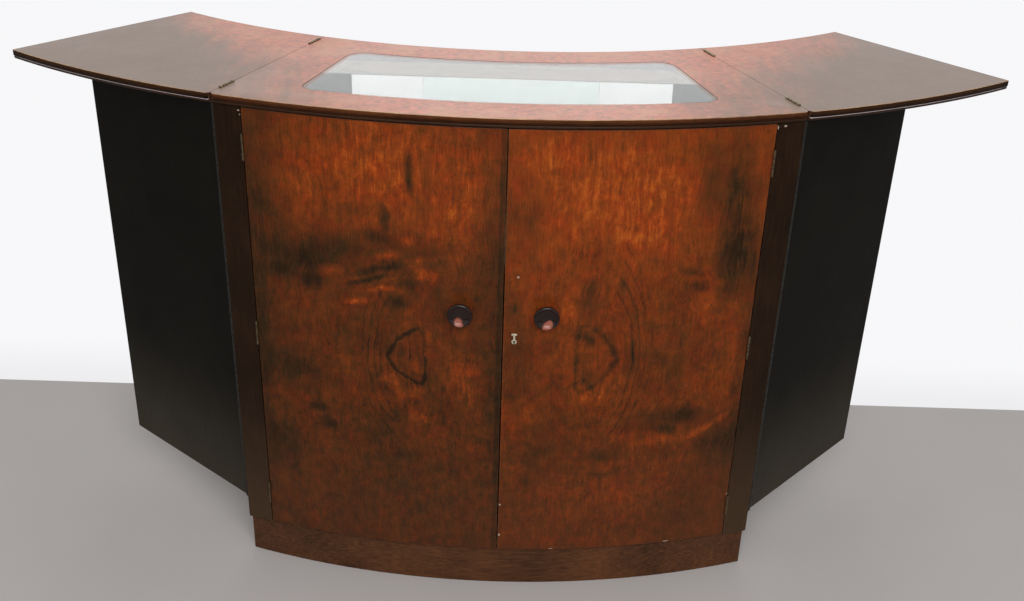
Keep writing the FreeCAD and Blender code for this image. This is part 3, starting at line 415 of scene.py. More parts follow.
def door_finish(side):
    """Walnut veneer of one door: a knot, smoky clouds and orange flames, with painted light
    brighter at the top and painted shade towards the foot.
    """
    hand = dict(SIDES)[side]
    material, lay, here, skin = new_finish(f"{side}_door_walnut")
    x, _, height = lay.parts(here)
    flat = flattened(lay, here)
    seeded = lay.mapped(flat, shift=(0, DOOR_SEEDS[side], 0))
    figure = place_group(lay, VENEER_FIGURE, Vector=seeded, Size=7.0, Swirl=0.07)
    wavering = place_group(lay, VENEER_FIGURE, Vector=seeded, Size=34.0, Swirl=0.016)
    ragged = lay.add("Mix", {0: 0.34, 4: wavering["Vector"], 5: figure["Vector"]},
                     data_type="VECTOR").outputs[1]
    ragged = flattened(lay, ragged)
    parted = ragged
    for *place, pull in GRAIN_PARTS[side]:
        parted = place_group(lay, PARTED_GRAIN, Vector=parted, Middle=middle_of(*place[:2]),
                             Spread=spread_of(*place[2:]), Pull=pull)["Vector"]

    strands = lay.noise(lay.mapped(parted, scale=(1, 1, 0.1), shift=(hand, 0, 0)), 120.0,
                        detail=4.0, roughness=0.62)
    mottle = lay.noise(lay.mapped(ragged, scale=(1, 1, 0.6), shift=(2 * hand, 0, 0)), 62.0,
                       detail=6.0, roughness=0.72)
    blotches = lay.noise(lay.mapped(ragged, shift=(5 * hand, 0, 0)), 24.0, detail=5.0,
                         roughness=0.68)
    # Painted light from above: the tone rises towards the top of the door.
    tone = lay.ease(height, 0.3, 0.95, *DOOR_PAINTED_LIGHT_LEVELS[side])
    tone = lay.vary(tone, figure["Clouds"], 0.34)
    tone = lay.vary(tone, strands, 0.23)
    tone = lay.vary(tone, mottle, lay.ease(height, 0.55, 1.0, 0.82, 0.42))
    tone = lay.vary(tone, blotches, 0.42)
    # Clouds of figure, with a painted highlight high on each door.
    smoke_and_highlight = add_patches(lay, 0.0, ragged, DOOR_PATCHES[side])
    curdled = lay.plus(-1.5, lay.math("ADD", strands, mottle), 2.3)
    tone = lay.plus(tone, smoke_and_highlight, curdled)
    middle, spread, darkness = DOOR_KNOTS[side]
    knot = place_group(lay, KNOT_OUTLINE, Vector=ragged, Middle=middle_of(*middle),
                       Spread=spread_of(*spread))
    tone = lay.plus(tone, knot["Outline"], -darkness)
    tone = lay.plus(tone, knot["Lines"], -0.15)
    tone = lay.plus(tone, knot["Inside"], -0.02)
    grain = place_group(lay, WOOD_GRAIN, Vector=parted, Fineness=520.0)
    tone = lay.vary(tone, grain["Fibre"], 0.55)
    tone = lay.plus(tone, grain["Pores"], -0.26)
    if side == "left":
        tone = lay.plus(tone, lay.ease(x, *LEFT_LIP), -0.12)
    tone = lay.math("MAXIMUM", lay.math("MINIMUM", tone, 1.0), 0.09)

    wood = lay.ramp(tone, *DOOR_TONES)
    warmth = lay.noise(parted, 21.0, detail=4.0, roughness=0.65)
    redder = lay.blend(1.0, wood, (1.03, 0.84, 0.92), "MULTIPLY")
    wood = lay.blend(lay.ease(warmth, 0.42, 0.62), wood, redder)
    # Painted shade, darker and duller towards the foot.
    wood = lay.blend(lay.ease(height, 0.1, 0.5, 0.3, 0.0), wood, DOOR_FOOT_PAINTED_SHADE)
    if side == "right":
        wood = add_pale_spots(lay, wood, flat, RIGHT_NICKS)
    wood = wear_edges(lay, here, wood, 0.5, (0.42, 0.25, 0.15))
    lay.fill(skin, {"Base Color": wood})
    varnish(lay, here, skin, 0.27, 0.2, 0.09, grain["Height"], 0.16, 0.1)
    return material


# ---------------- the other finishes
SIDEWAYS = (0, 1.5708, 0)       # turns upright grain to run along X
PALER_FOOT_HEIGHTS = (0.05, 0.5)         # the heights between which a paler foot ends


def plain_wood(name, dark, light, fineness=380.0, direction=(0, 0, 0), gloss=0.35, spread=0.15,
               wear=0.3, wear_colour=(0.25, 0.15, 0.09), level=0.4, contrast=1.0, depth=0.12,
               paler_foot=None, pale_spots=(), rubbed=()):
    """Straight-grained wood between two tones, under varnish or bare."""
    material, lay, here, skin = new_finish(name)
    turned = lay.mapped(here, turn=direction)
    figure = place_group(lay, VENEER_FIGURE, Vector=turned, Size=3.0, Swirl=0.05)
    grain = place_group(lay, WOOD_GRAIN, Vector=turned, Fineness=fineness)
    tone = lay.vary(0.45, figure["Clouds"], 0.9 * contrast)
    tone = lay.vary(tone, grain["Fibre"], 1.3 * contrast)
    tone = lay.plus(tone, grain["Pores"], -0.35 * contrast, clamp=True)
    wood = lay.ramp(tone, (0.0, dark), (1.0, light))
    # Paler towards the foot.
    if paler_foot:
        paler_foot_colour = lay.blend(tone, tinted(paler_foot, 0.6), paler_foot)
        wood = lay.blend(lay.ease(lay.parts(here)[2], *PALER_FOOT_HEIGHTS, 1.0, 0.0), wood, paler_foot_colour)
    if pale_spots:
        wood = add_pale_spots(lay, wood, flattened(lay, here), pale_spots)
    # rubbed holds painted reflections: soft salmon patches in the knobs' dishes.
    if rubbed:
        wavy = place_group(lay, VENEER_FIGURE, Vector=flattened(lay, here), Size=60.0, Swirl=0.008)
        wood = add_pale_spots(lay, wood, wavy["Vector"], rubbed, (0.33, 0.1, 0.063), 0.85, (0.0, 0.75))
    wood = wear_edges(lay, here, wood, wear, wear_colour)
    lay.fill(skin, {"Base Color": wood})
    varnish(lay, here, skin, gloss, spread, level, grain["Height"], 0.25, depth)
    return material


def top_finish(name, red, brown, honey, far_brown):
    """Burl veneer with a fine fibrous mottle, its red fading towards the leaves' outer ends."""
    material, lay, here, skin = new_finish(name)
    figure = place_group(lay, VENEER_FIGURE, Vector=here, Size=22.0, Swirl=0.018)
    mottle = lay.noise(figure["Vector"], 75.0, detail=5.0, roughness=0.7)
    fibres = lay.noise(lay.mapped(figure["Vector"], scale=(1, 0.28, 1)), 420.0, detail=3.0)
    spoke = lay.vector("MULTIPLY", lay.vector("SUBTRACT", here, AXIS), (1, 1, 0))
    rearwards = lay.ease(lay.vector("LENGTH", spoke), TOP_REAR_RADIUS, TOP_RADIUS, 1.0, 0.0)
    across = lay.plus(lay.math("ABSOLUTE", lay.parts(here)[0]),
                      lay.math("POWER", rearwards, 3.0), -0.34)
    across = lay.vary(across, figure["Clouds"], 0.3)
    streaks = lay.noise(lay.mapped(here, scale=(1, 0.16, 1)), 34.0, detail=4.0)
    across = lay.vary(across, streaks, 0.36)
    tone = lay.vary(0.5, mottle, 2.7)
    tone = lay.vary(tone, fibres, 1.5, clamp=True)
    burl = lay.blend(tone, brown, red)
    tan = lay.ease(lay.noise(figure["Vector"], 17.0, detail=4.0, roughness=0.65), 0.46, 0.66)
    burl = lay.blend(lay.times(tan, 0.7), burl, honey)
    calm = lay.blend(lay.plus(0.25, tone, 0.5), tinted(far_brown, 0.62), tinted(far_brown, 1.3))
    wood = lay.blend(lay.ease(across, 0.21, 0.64), burl, calm)
    wood = wear_edges(lay, here, wood, 0.75, (0.4, 0.22, 0.12), width=0.0018)
    lay.fill(skin, {"Base Color": wood, "Sheen Weight": 0.12, "Sheen Tint": (1.0, 0.7, 0.58)})
    varnish(lay, here, skin, 0.34, 0.16, 0.45, fibres, 0.3, 0.1)
    return material


def metal(name, bright, dull, roughness, tarnish=0.5, metallic=1.0):
    """Metal with tarnish in patches and rubbed edges."""
    material, lay, here, skin = new_finish(name)
    patches = lay.noise(here, 130.0, detail=5.0, roughness=0.7)
    patches = lay.ease(patches, 0.62 - 0.3 * tarnish, 0.75)
    worn = place_group(lay, WORN_EDGE, Vector=here, Width=0.0005, Amount=0.8)
    kept = lay.math("SUBTRACT", patches, worn["Mask"], clamp=True)
    handled = place_group(lay, HANDLED, Vector=here, Gloss=roughness, Spread=0.2)
    lay.fill(skin, {"Base Color": lay.blend(kept, bright, dull), "Metallic": metallic,
                    "Roughness": lay.plus(handled["Roughness"], kept, 0.2)})
    scratches = lay.noise(lay.mapped(here, scale=(1, 1, 0.15)), 1400.0, detail=2.0)
    lay.bump(skin, scratches, 0.12, 0.0004)
    return material


def pane_finish():
    """Clear plate glass with a faint green body and a film of dust."""
    material, lay, here, skin = new_finish("plate_glass")
    dust = lay.ease(lay.noise(here, 24.0, detail=5.0, roughness=0.7), 0.45, 0.9)
    dusty = lay.blend(dust, (0.91, 0.975, 0.955), (0.8, 0.85, 0.83))
    lay.fill(skin, {"Base Color": dusty, "IOR": 1.52, "Transmission Weight": 1.0,
                    "Roughness": 0.0})
    rays = lay.add("LightPath").outputs
    passing = lay.math("MAXIMUM", rays["Is Shadow Ray"], rays["Is Diffuse Ray"])
    mix_surface(lay, passing, skin, lay.add("BsdfTransparent", {"Color": (0.86, 0.91, 0.89)}))
    return material


LEFT_DOOR = door_finish("left")
RIGHT_DOOR = door_finish("right")
DOOR_INSIDE = plain_wood("door_inside", (0.06, 0.022, 0.01), (0.17, 0.066, 0.026), gloss=0.5)
DOOR_EDGE = plain_wood("door_edge", (0.03, 0.013, 0.007), (0.11, 0.045, 0.02), wear=0.8)
TOP_BURL = top_finish("top_burl", (0.53, 0.13, 0.062), (0.2, 0.07, 0.036),
                      (0.42, 0.17, 0.074), (0.118, 0.07, 0.041))
TOP_EDGE = plain_wood(
    "top_edge", (0.04, 0.0135, 0.005), (0.15, 0.048, 0.017), direction=SIDEWAYS, wear=0.6,
    wear_colour=(0.45, 0.24, 0.11), gloss=0.4, level=0.06)
LEAF_EDGE = plain_wood(
    "leaf_edge", (0.017, 0.0075, 0.0028), (0.062, 0.023, 0.008), direction=SIDEWAYS, wear=0.6,
    wear_colour=(0.34, 0.17, 0.07), gloss=0.4, level=0.06)
# Painted shade: the bead under the edge, and the end faces at the seams, are kept dark.
BEAD_AND_SEAM_SHADE = plain_wood(
    "bead_and_seam_painted_shade", (0.013, 0.0062, 0.0032), (0.058, 0.023, 0.0105), direction=SIDEWAYS, wear=0.5,
    wear_colour=(0.2, 0.13, 0.09), gloss=0.35, level=0.1)
# Painted highlight along the upper arris of the top and the leaves, over rubbed wear.
ARRIS_WEAR_AND_HIGHLIGHT = plain_wood(
    "arris_wear_and_painted_highlight", (0.2, 0.095, 0.04), (0.56, 0.37, 0.19), direction=SIDEWAYS, wear=0.2, gloss=0.4,
    contrast=1.6)
# Painted highlight: a pale line along the upper chamfer of each leaf's bead.
BEAD_HIGHLIGHT = plain_wood(
    "painted_bead_highlight", (0.24, 0.215, 0.22), (0.6, 0.56, 0.58), direction=SIDEWAYS, wear=0.2, gloss=0.3,
    contrast=0.7)
TOP_UNDER = plain_wood(
    "top_underside", (0.04, 0.02, 0.011), (0.11, 0.055, 0.028), direction=SIDEWAYS, gloss=0.55)
EBONISED = plain_wood(
    "ebonised_wood", (0.0016, 0.0016, 0.001), (0.0088, 0.0074, 0.0048), gloss=0.5, wear=0.35,
    wear_colour=(0.1, 0.07, 0.05), contrast=1.1, level=0.05, paler_foot=(0.056, 0.046, 0.032))
CARCASE_WOOD = plain_wood(
    "carcase_wood", (0.012, 0.0072, 0.0042), (0.052, 0.029, 0.016), gloss=0.55, fineness=300.0,
    wear=0.5, wear_colour=(0.18, 0.11, 0.07), level=0.2)
STILE_WOOD = plain_wood(
    "stile_wood", (0.0048, 0.0027, 0.0013), (0.029, 0.0125, 0.0048), gloss=0.36, spread=0.12,
    wear=0.5, wear_colour=(0.16, 0.1, 0.06), level=0.09, paler_foot=(0.072, 0.04, 0.021),
    pale_spots=((-511, 1061, 3, 2), (-509, 1053, 2, 1.5), (508, 1060, 2.5, 5), (523, 1062, 4, 2.5)))
PLINTH_WOOD = plain_wood(
    "plinth_wood", (0.024, 0.0105, 0.005), (0.15, 0.055, 0.02), gloss=0.38, direction=SIDEWAYS,
    wear=0.5, level=0.15, contrast=1.3)
INNER_WOOD = plain_wood(
    "inner_wood", (0.11, 0.052, 0.024), (0.27, 0.14, 0.07), gloss=0.55, direction=SIDEWAYS,
    wear=0.2, wear_colour=(0.36, 0.24, 0.15))
# Painted reflection: salmon patches low in each knob's dish stand for light from above reflected
# there.
KNOB_WOOD = plain_wood(
    "knob_wood", (0.0045, 0.0024, 0.002), (0.024, 0.0075, 0.0052), gloss=0.16, spread=0.1,
    wear=0.5, wear_colour=(0.16, 0.06, 0.035), level=0.3, depth=0.05,
    rubbed=((-88, 676, 11, 11), (-85, 671, 10, 7), (88, 674, 12, 11), (84, 670, 10, 8),
            (91, 680, 8, 7)))
GLASS = pane_finish()
AGED_BRASS = metal("aged_brass", (0.2, 0.15, 0.085), (0.045, 0.034, 0.024), 0.32, 0.9)
LEAF_BRASS = metal("leaf_hinge_brass", (0.3, 0.25, 0.15), (0.07, 0.056, 0.036), 0.42, 0.85)
# Painted shade with grime, for the eased ends of the knuckles.
KNUCKLE_SHADE_AND_GRIME = metal("hinge_painted_shade_and_grime", (0.03, 0.024, 0.016), (0.01, 0.008, 0.006), 0.6, 0.7, metallic=0.3)
LOCK_BRASS = metal("lock_brass", (0.7, 0.5, 0.23), (0.3, 0.2, 0.1), 0.3)
STEEL = metal("hinge_steel", (0.05, 0.052, 0.048), (0.02, 0.02, 0.018), 0.34, 0.7)
PALE_METAL = metal("pale_metal", (0.74, 0.68, 0.52), (0.4, 0.34, 0.24), 0.3, 0.4)


# ---------------- boards from the CAD frame
def merged_copy(node):
    """A node's triangles, welded and joined into whole faces."""
    bm = bmesh.new()
    bm.from_mesh(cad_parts[node].data)
    bmesh.ops.remove_doubles(bm, verts=bm.verts[:], dist=0.02 * MM)
    bmesh.ops.dissolve_limit(bm, angle_limit=math.radians(0.5), verts=bm.verts[:],
                             edges=bm.edges[:], delimit={"NORMAL"})
    return bm


def soften(bm, arris):
    """Rounds every edge that turns by more than 50 degrees."""
    sharp = [edge for edge in bm.edges
             if len(edge.link_faces) == 2 and edge.calc_face_angle(0.0) > math.radians(50)]
    bmesh.ops.bevel(bm, geom=sharp, offset=arris, offset_type="OFFSET", segments=2, profile=0.5,
                    affect="EDGES", material=-1, clamp_overlap=True)


def new_object(name, bm, finishes):
    """An object in the scene with a bmesh's shape. It frees the bmesh."""
    mesh = bpy.data.meshes.new(name)
    bm.to_mesh(mesh)
    bm.free()
    for finish in finishes:
        mesh.materials.append(finish)
    made = bpy.data.objects.new(name, mesh)
    bpy.context.scene.collection.objects.link(made)
    return made


def set_down(name, bm, body, finishes, replaced, smooth=50):
    """Makes a finished piece of a bmesh, riding on its body and standing for CAD nodes."""
    piece = new_object(name, bm, finishes)
    piece.data.shade_smooth()
    piece.data.set_sharp_from_angle(angle=math.radians(smooth))
    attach(piece, body)
    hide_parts(*replaced)
    weighted = piece.modifiers.new("even_shading", "WEIGHTED_NORMAL")
    weighted.keep_sharp = True


def board(node, body, finishes, arris=0.7, face_kind=None):
    """A piece that copies a CAD board with softened edges and a finish for each kind of face."""
    bm = merged_copy(node)
    if face_kind:
        for face in bm.faces:
            face.material_index = face_kind(face)
    if arris:
        soften(bm, arris * MM)
    set_down(node + "_board", bm, body, finishes, (node,))


def outward(face):
    """How squarely a face looks away from the arcs' axis."""
    spoke = face.calc_center_median() - AXIS
    return face.normal.dot(Vector((spoke.x, spoke.y, 0)).normalized())


def door_face(face):
    """0 for the veneered front, 1 for the inner face and 2 for the edges."""
    look = outward(face)
    if look > 0.95:
        return 0
    return 1 if look < -0.95 else 2


UPPER, EDGE, BEAD, UNDER, ARRIS, SLOPE = range(6)
BEAD_HEIGHT, ARRIS_HEIGHT, SEAM_REACH = 7.5 * MM, 12 * MM, 0.65


def top_face(face):
    """Which of the six kinds above a face of the top or of a leaf is."""
    middle = face.calc_center_median()
    height = middle.z - TOP_CORNER.z
    tilt = face.normal.z
    if tilt > 0.9:
        return UPPER
    if tilt < -0.9 and height < 0.5 * MM:
        return UNDER
    # End faces at the seams count as bead and so take its painted shade.
    if abs(outward(face)) < 0.3 and abs(middle.x) < SEAM_REACH:
        return BEAD
    if tilt > 0.3:
        return ARRIS if height > ARRIS_HEIGHT else SLOPE
    return BEAD if height < BEAD_HEIGHT else EDGE


TOP_FINISHES = (TOP_BURL, TOP_EDGE, BEAD_AND_SEAM_SHADE, TOP_UNDER, ARRIS_WEAR_AND_HIGHLIGHT, BEAD_AND_SEAM_SHADE)
LEAF_FINISHES = (TOP_BURL, LEAF_EDGE, BEAD_AND_SEAM_SHADE, TOP_UNDER, ARRIS_WEAR_AND_HIGHLIGHT, BEAD_HIGHLIGHT)
board("centre_top", "root", TOP_FINISHES, 0, top_face)
for side, hand in SIDES:
    board(f"{side}_leaf", f"{side}_leaf", LEAF_FINISHES, 0, top_face)
    board(f"{side}_stile", "root", (STILE_WOOD,), 0.8)
    board(f"{side}_side", "root", (CARCASE_WOOD,))
    board(f"{side}_wing", f"{side}_wing", (EBONISED,), 0)
    board(f"{side}_plinth_end", "root", (PLINTH_WOOD,), 0.8)
for side, veneer in (("left", LEFT_DOOR), ("right", RIGHT_DOOR)):
    board(f"{side}_door", f"{side}_door", (veneer, DOOR_INSIDE, DOOR_EDGE),
          face_kind=door_face)
board("back_panel", "root", (CARCASE_WOOD,), 0.5)
board("plinth_front", "root", (PLINTH_WOOD,), 0.9)
board("plinth_back", "root", (PLINTH_WOOD,))
for node in ("bottom_board", "lower_shelf", "upper_shelf", "front_rail", "rear_rail",
             "shelf_cleats", "plinth_blocks"):
    board(node, "root", (INNER_WOOD,), 0.6)
board("glass_panel", "root", (GLASS,), 0.5)


# ---------------- knobs
KNOB_ACROSS, KNOB_HEIGHT = 0.084, 0.69
KNOB_PROFILE = ((0, 0), (12.6, 0), (12.9, 0.5), (12.0, 1.6), (11.5, 3.5), (11.7, 6.0), (13.0, 8.2),
                (16.0, 11.4), (20.0, 15.4), (23.2, 18.8), (24.8, 21.2), (25.4, 23.2), (25.4, 25.0),
                (24.6, 26.8), (23.2, 27.8), (21.6, 28.0), (20.4, 27.5), (19.6, 26.4), (17.6, 24.9),
                (14.0, 23.2), (9.5, 22.0), (4.5, 21.5), (0, 21.4))


def turned(profile, steps=64):
    """A body turned about Z from (radius, height) pairs that start and end on the axis."""
    bm = bmesh.new()
    verts = [bm.verts.new((radius * MM, 0, height * MM)) for radius, height in profile]
    edges = [bm.edges.new(pair) for pair in zip(verts, verts[1:])]
    bmesh.ops.spin(bm, geom=verts + edges, cent=(0, 0, 0), axis=(0, 0, 1), angle=math.tau,
                   steps=steps, use_merge=True)
    bmesh.ops.remove_doubles(bm, verts=bm.verts[:], dist=0.001 * MM)
    bmesh.ops.recalc_face_normals(bm, faces=bm.faces[:])
    return bm


def make_knob(side, hand):
    """A turned knob that stands square on the bow of its door."""
    bm = turned(KNOB_PROFILE)
    angle = math.asin(KNOB_ACROSS / DOOR_RADIUS)
    out = Vector((hand * math.sin(angle), -math.cos(angle), 0))
    foot = AXIS + UP * KNOB_HEIGHT + out * DOOR_RADIUS
    stand = Matrix.Translation(foot) @ out.to_track_quat("Z", "Y").to_matrix().to_4x4()
    bmesh.ops.transform(bm, matrix=stand, verts=bm.verts[:])
    set_down(f"{side}_turned_knob", bm, f"{side}_door", (KNOB_WOOD,),
             (f"{side}_knob",), smooth=60)


for side, hand in SIDES:
    make_knob(side, hand)


# ---------------- hinges and lock
# Each kind of hinge: the radius of its barrel, the width of a plate, the length, all in mm, the
# number of knuckles in all and of screws in a half.
DOOR_HINGE = (2.4, 16, 55, 3, 3)
TOP_HINGE = (2.6, 14, 50, 5, 3)
WING_HINGE = (3.2, 14, 918, 61, 14)
DOOR_PIN, DOOR_HINGE_HEIGHTS = (0.507791, -0.26325), (181, 585, 989)
TOP_PIN_HEIGHT, TOP_HINGE_RADII = 1.0908, (1640, 1290)
WING_PIN, WING_PIN_FOOT, WING_OPENINGS = (0.564847, -0.235942), 0.15, (69.9, 63.1)
SEAM_ANGLE = math.radians(19.43)
PLATE_NEAR, PLATE_FAR, PLATE_CORNER = 0.15, 1.15, 1.2
KNUCKLE_GAP, SCREW_STAGGER = 0.3, 1.5


def stood(origin, x_axis, z_axis):
    """A placement from its origin, its X and its Z."""
    return Matrix.Translation(origin) @ Matrix(
        (x_axis, z_axis.cross(x_axis), z_axis)).transposed().to_4x4()


def seam_direction(hand):
    return Vector((hand * math.sin(SEAM_ANGLE), -math.cos(SEAM_ANGLE), 0))


def door_hinge_places(hand):
    """The lower ends of a door's pins, X running into the joint beside the stile."""
    pin = Vector((hand * DOOR_PIN[0], DOOR_PIN[1], 0))
    return [stood(pin + UP * (middle - DOOR_HINGE[2] / 2) * MM, (AXIS - pin).normalized(), UP)
            for middle in DOOR_HINGE_HEIGHTS]


def top_hinge_places(hand):
    """The rear ends of a leaf's pins, which lie along the seam; X runs down into it."""
    out = seam_direction(hand)
    return [stood(AXIS + out * (middle - TOP_HINGE[2] / 2) * MM + UP * TOP_PIN_HEIGHT, -UP, out)
            for middle in TOP_HINGE_RADII]


def wing_hinge_place(hand, opening):
    """The foot of a wing's pin, X turned round it by the wing's opening in degrees."""
    turn = Matrix.Rotation(math.radians(-hand * (90 + opening)), 3, "Z")
    foot = Vector((hand * WING_PIN[0], WING_PIN[1], WING_PIN_FOOT))
    return stood(foot, turn @ seam_direction(hand), UP)


def edges_of(verts):
    return list({edge for vert in verts for edge in vert.link_edges})


def add_block(bm, place, low, high, corner=0.0):
    """A block between two corners in mm. The two corners at its far X can be rounded."""
    low, high = Vector(low) * MM, Vector(high) * MM
    middle = Matrix.Translation((low + high) / 2)
    size = Matrix.Diagonal((*(high - low), 1))
    made = bmesh.ops.create_cube(bm, size=1, matrix=place @ middle @ size)
    if corner:
        back = place.inverted()
        across = place.col[1].xyz
        far = [edge for edge in edges_of(made["verts"])
               if all((back @ vert.co).x > high.x - 0.01 * MM for vert in edge.verts)
               and abs((edge.verts[0].co - edge.verts[1].co).normalized().dot(across)) > 0.9]
        bmesh.ops.bevel(bm, geom=far, offset=corner * MM, segments=3, profile=0.5, affect="EDGES",
                        material=-1)


def add_knuckle(bm, place, radius, start, height):
    """One rolled knuckle of a hinge, with eased ends."""
    middle = Matrix.Translation(UP * (start + height / 2) * MM)
    made = bmesh.ops.create_cone(bm, cap_ends=True, cap_tris=False, segments=16,
                                 radius1=radius * MM, radius2=radius * MM, depth=height * MM,
                                 matrix=place @ middle)
    rims = [edge for edge in edges_of(made["verts"])
            if any(len(face.verts) > 4 for face in edge.link_faces)]
    eased = bmesh.ops.bevel(bm, geom=rims, offset=min(0.36 * radius, 0.09 * height) * MM,
                            # The eased ends take the second finish: painted shade between the
                            # knuckles, with grime.
                            segments=1, profile=0.5, affect="EDGES", material=-1)
    for face in eased["faces"]:
        face.material_index = 1


def caps_of(verts, out):
    """The faces at these vertices that look along a direction."""
    return {face for vert in verts if vert.is_valid for face in vert.link_faces
            if face.normal.dot(out) > 0.99}


def add_screw(bm, place, radius, height, turn):
    """A slotted screw head standing a little out of the surface under it; Z points out."""
    place = place @ Matrix.Rotation(turn, 4, "Z")
    made = bmesh.ops.create_cone(bm, cap_ends=True, cap_tris=False, segments=16,
                                 radius1=radius * MM, radius2=0.8 * radius * MM,
                                 depth=height * MM,
                                 matrix=place @ Matrix.Translation(UP * 0.5 * height * MM))
    out = place.col[2].xyz
    for side in (-1, 1):
        caps = list(caps_of(made["verts"], out))
        parts = caps + list({edge for face in caps for edge in face.edges}) + list(
            {vert for face in caps for vert in face.verts})
        cut = bmesh.ops.bisect_plane(bm, geom=parts, dist=1e-7, plane_no=place.col[0].xyz,
                                     plane_co=place @ Vector((side * 0.15 * radius * MM, 0, 0)))
        made["verts"] += [item for item in cut["geom_cut"] if isinstance(item, bmesh.types.BMVert)]
    middle = place.translation + out * height * MM
    slot = min(caps_of(made["verts"], out),
               key=lambda face: (face.calc_center_bounds() - middle).length)
    sunk = bmesh.ops.extrude_discrete_faces(bm, faces=[slot])["faces"][0]
    bmesh.ops.translate(bm, verts=sunk.verts[:], vec=-0.8 * height * MM * out)


def hinge_half(node, body, finish, places, sizes, side, parity):
    """Half of a hinge at each place: a plate on one side of the joint, its screws and knuckles.

    Even knuckles belong to the fixed half and odd ones to the moving half.
    """
    barrel, width, length, count, screws = sizes
    near, far = sorted((PLATE_NEAR * side, PLATE_FAR * side))
    facing = Matrix.Rotation(side * math.pi / 2, 4, "X")
    pitch = length / count
    bm = bmesh.new()
    for place in places:
        add_block(bm, place, (barrel + KNUCKLE_GAP, near, 0), (width, far, length), PLATE_CORNER)
        for index in range(parity, count, 2):
            start, height = index * pitch + KNUCKLE_GAP / 2, pitch - KNUCKLE_GAP
            add_block(bm, place, (0, near, start), (barrel + 0.5, far, start + height))
            add_knuckle(bm, place, barrel, start, height)
        for step in range(screws):
            stagger = SCREW_STAGGER if step % 2 else -SCREW_STAGGER
            across = (barrel + KNUCKLE_GAP + width) / 2 + stagger
            spot = Vector((across, PLATE_NEAR * side, length * (step + 0.5) / screws)) * MM
            add_screw(bm, place @ Matrix.Translation(spot) @ facing, 2.0, 0.1, 2.4 * step)
    set_down(node + "_metal", bm, body, (finish, KNUCKLE_SHADE_AND_GRIME), (node,), smooth=35)


for (side, hand), opening in zip(SIDES, WING_OPENINGS):
    for half, parity, plate, body in (("fixed", 0, -hand, "root"), ("moving", 1, hand, None)):
        hinge_half(f"{side}_door_hinge_{half}", body or f"{side}_door", AGED_BRASS,
                   door_hinge_places(hand), DOOR_HINGE, plate, parity)
        hinge_half(f"{side}_top_hinge_{half}", body or f"{side}_leaf", LEAF_BRASS,
                   top_hinge_places(hand), TOP_HINGE, plate, parity)
        hinge_half(f"{side}_wing_hinge_{half}", body or f"{side}_wing", STEEL,
                   [wing_hinge_place(hand, opening * parity)], WING_HINGE, -plate, parity)


def fitting(node, body, finish, arris=0.4, screws=(), radius=2.0):
    """A small fitting with eased edges, and screws on its rear at (x, z) in mm from its middle."""
    bm = merged_copy(node)
    stand = None
    if screws:
        rear = max((face for face in bm.faces if face.normal.y > 0.9),
                   key=lambda face: face.calc_area())
        stand = stood(rear.calc_center_bounds(), UP.cross(rear.normal), rear.normal.copy())
    soften(bm, arris * MM)
    for index, (x, z) in enumerate(screws):
        spot = Matrix.Translation(Vector((x, z, 0)) * MM)
        add_screw(bm, stand @ spot, radius, 0.45, 0.4 + 2.1 * index)
    set_down(node + "_metal", bm, body, (finish,), (node,), smooth=35)


def at_corners(x, z):
    return [(right * x, up * z) for right, up in ((-1, -1), (1, -1), (-1, 1), (1, 1))]


fitting("lock_case", "right_door", LOCK_BRASS, 0.8, at_corners(17, 24))
fitting("lock_keeper", "left_door", LOCK_BRASS, 0.5, ((0, -11.5), (0, 11.5)), 1.8)
fitting("bolt_guide", "left_door", LOCK_BRASS, 0.3, at_corners(8, 27), 1.6)
fitting("bolt_keeper", "root", LOCK_BRASS, 0.3)
fitting("door_bolt", "door_bolt", LOCK_BRASS)
fitting("lock_bolt", "lock_bolt", LOCK_BRASS)
fitting("escutcheon", "right_door", PALE_METAL, 0.25)


# ---------------- floor, light and camera
STUDIO_WHITE = (0.985, 0.985, 1.0)
SKY_PLAIN, SKY_MIRRORED, SKY_SEEN = 0.5, 0.82, 0.95
SHEET_SIZE = 30     # half the width of the floor and of the wall
WALL_Y = 0.47


def stage_sheet(name, matrix, material):
    """A flat sheet of the studio, which isn't part of the cabinet."""
    bm = bmesh.new()
    bmesh.ops.create_grid(bm, x_segments=1, y_segments=1, size=SHEET_SIZE, matrix=matrix)
    sheet = new_object(name, bm, (material,))


def make_floor():
    """A pale carpet that brightens into the backdrop far from the cabinet."""
    material, lay, here, skin = new_finish("pale_floor")
    soft = lay.noise(here, 3.0, detail=5.0, roughness=0.6)
    pile = lay.noise(here, 260.0, detail=2.0)
    shade = lay.math("ADD", lay.times(soft, 0.5), lay.times(pile, 0.5))
    colour = lay.blend(shade, (0.4, 0.378, 0.366), (0.5, 0.466, 0.448))
    lay.fill(skin, {"Base Color": colour, "Roughness": 0.9, "Specular IOR Level": 0.1})
    far = lay.ease(lay.vector("LENGTH", here), 2.0, 6.0)
    white = lay.times(far, lay.add("LightPath").outputs["Is Camera Ray"])
    mix_surface(lay, white, skin,
                lay.add("Emission", {"Color": STUDIO_WHITE, "Strength": SKY_SEEN}))
    stage_sheet("studio_floor", Matrix.Identity(4), material)


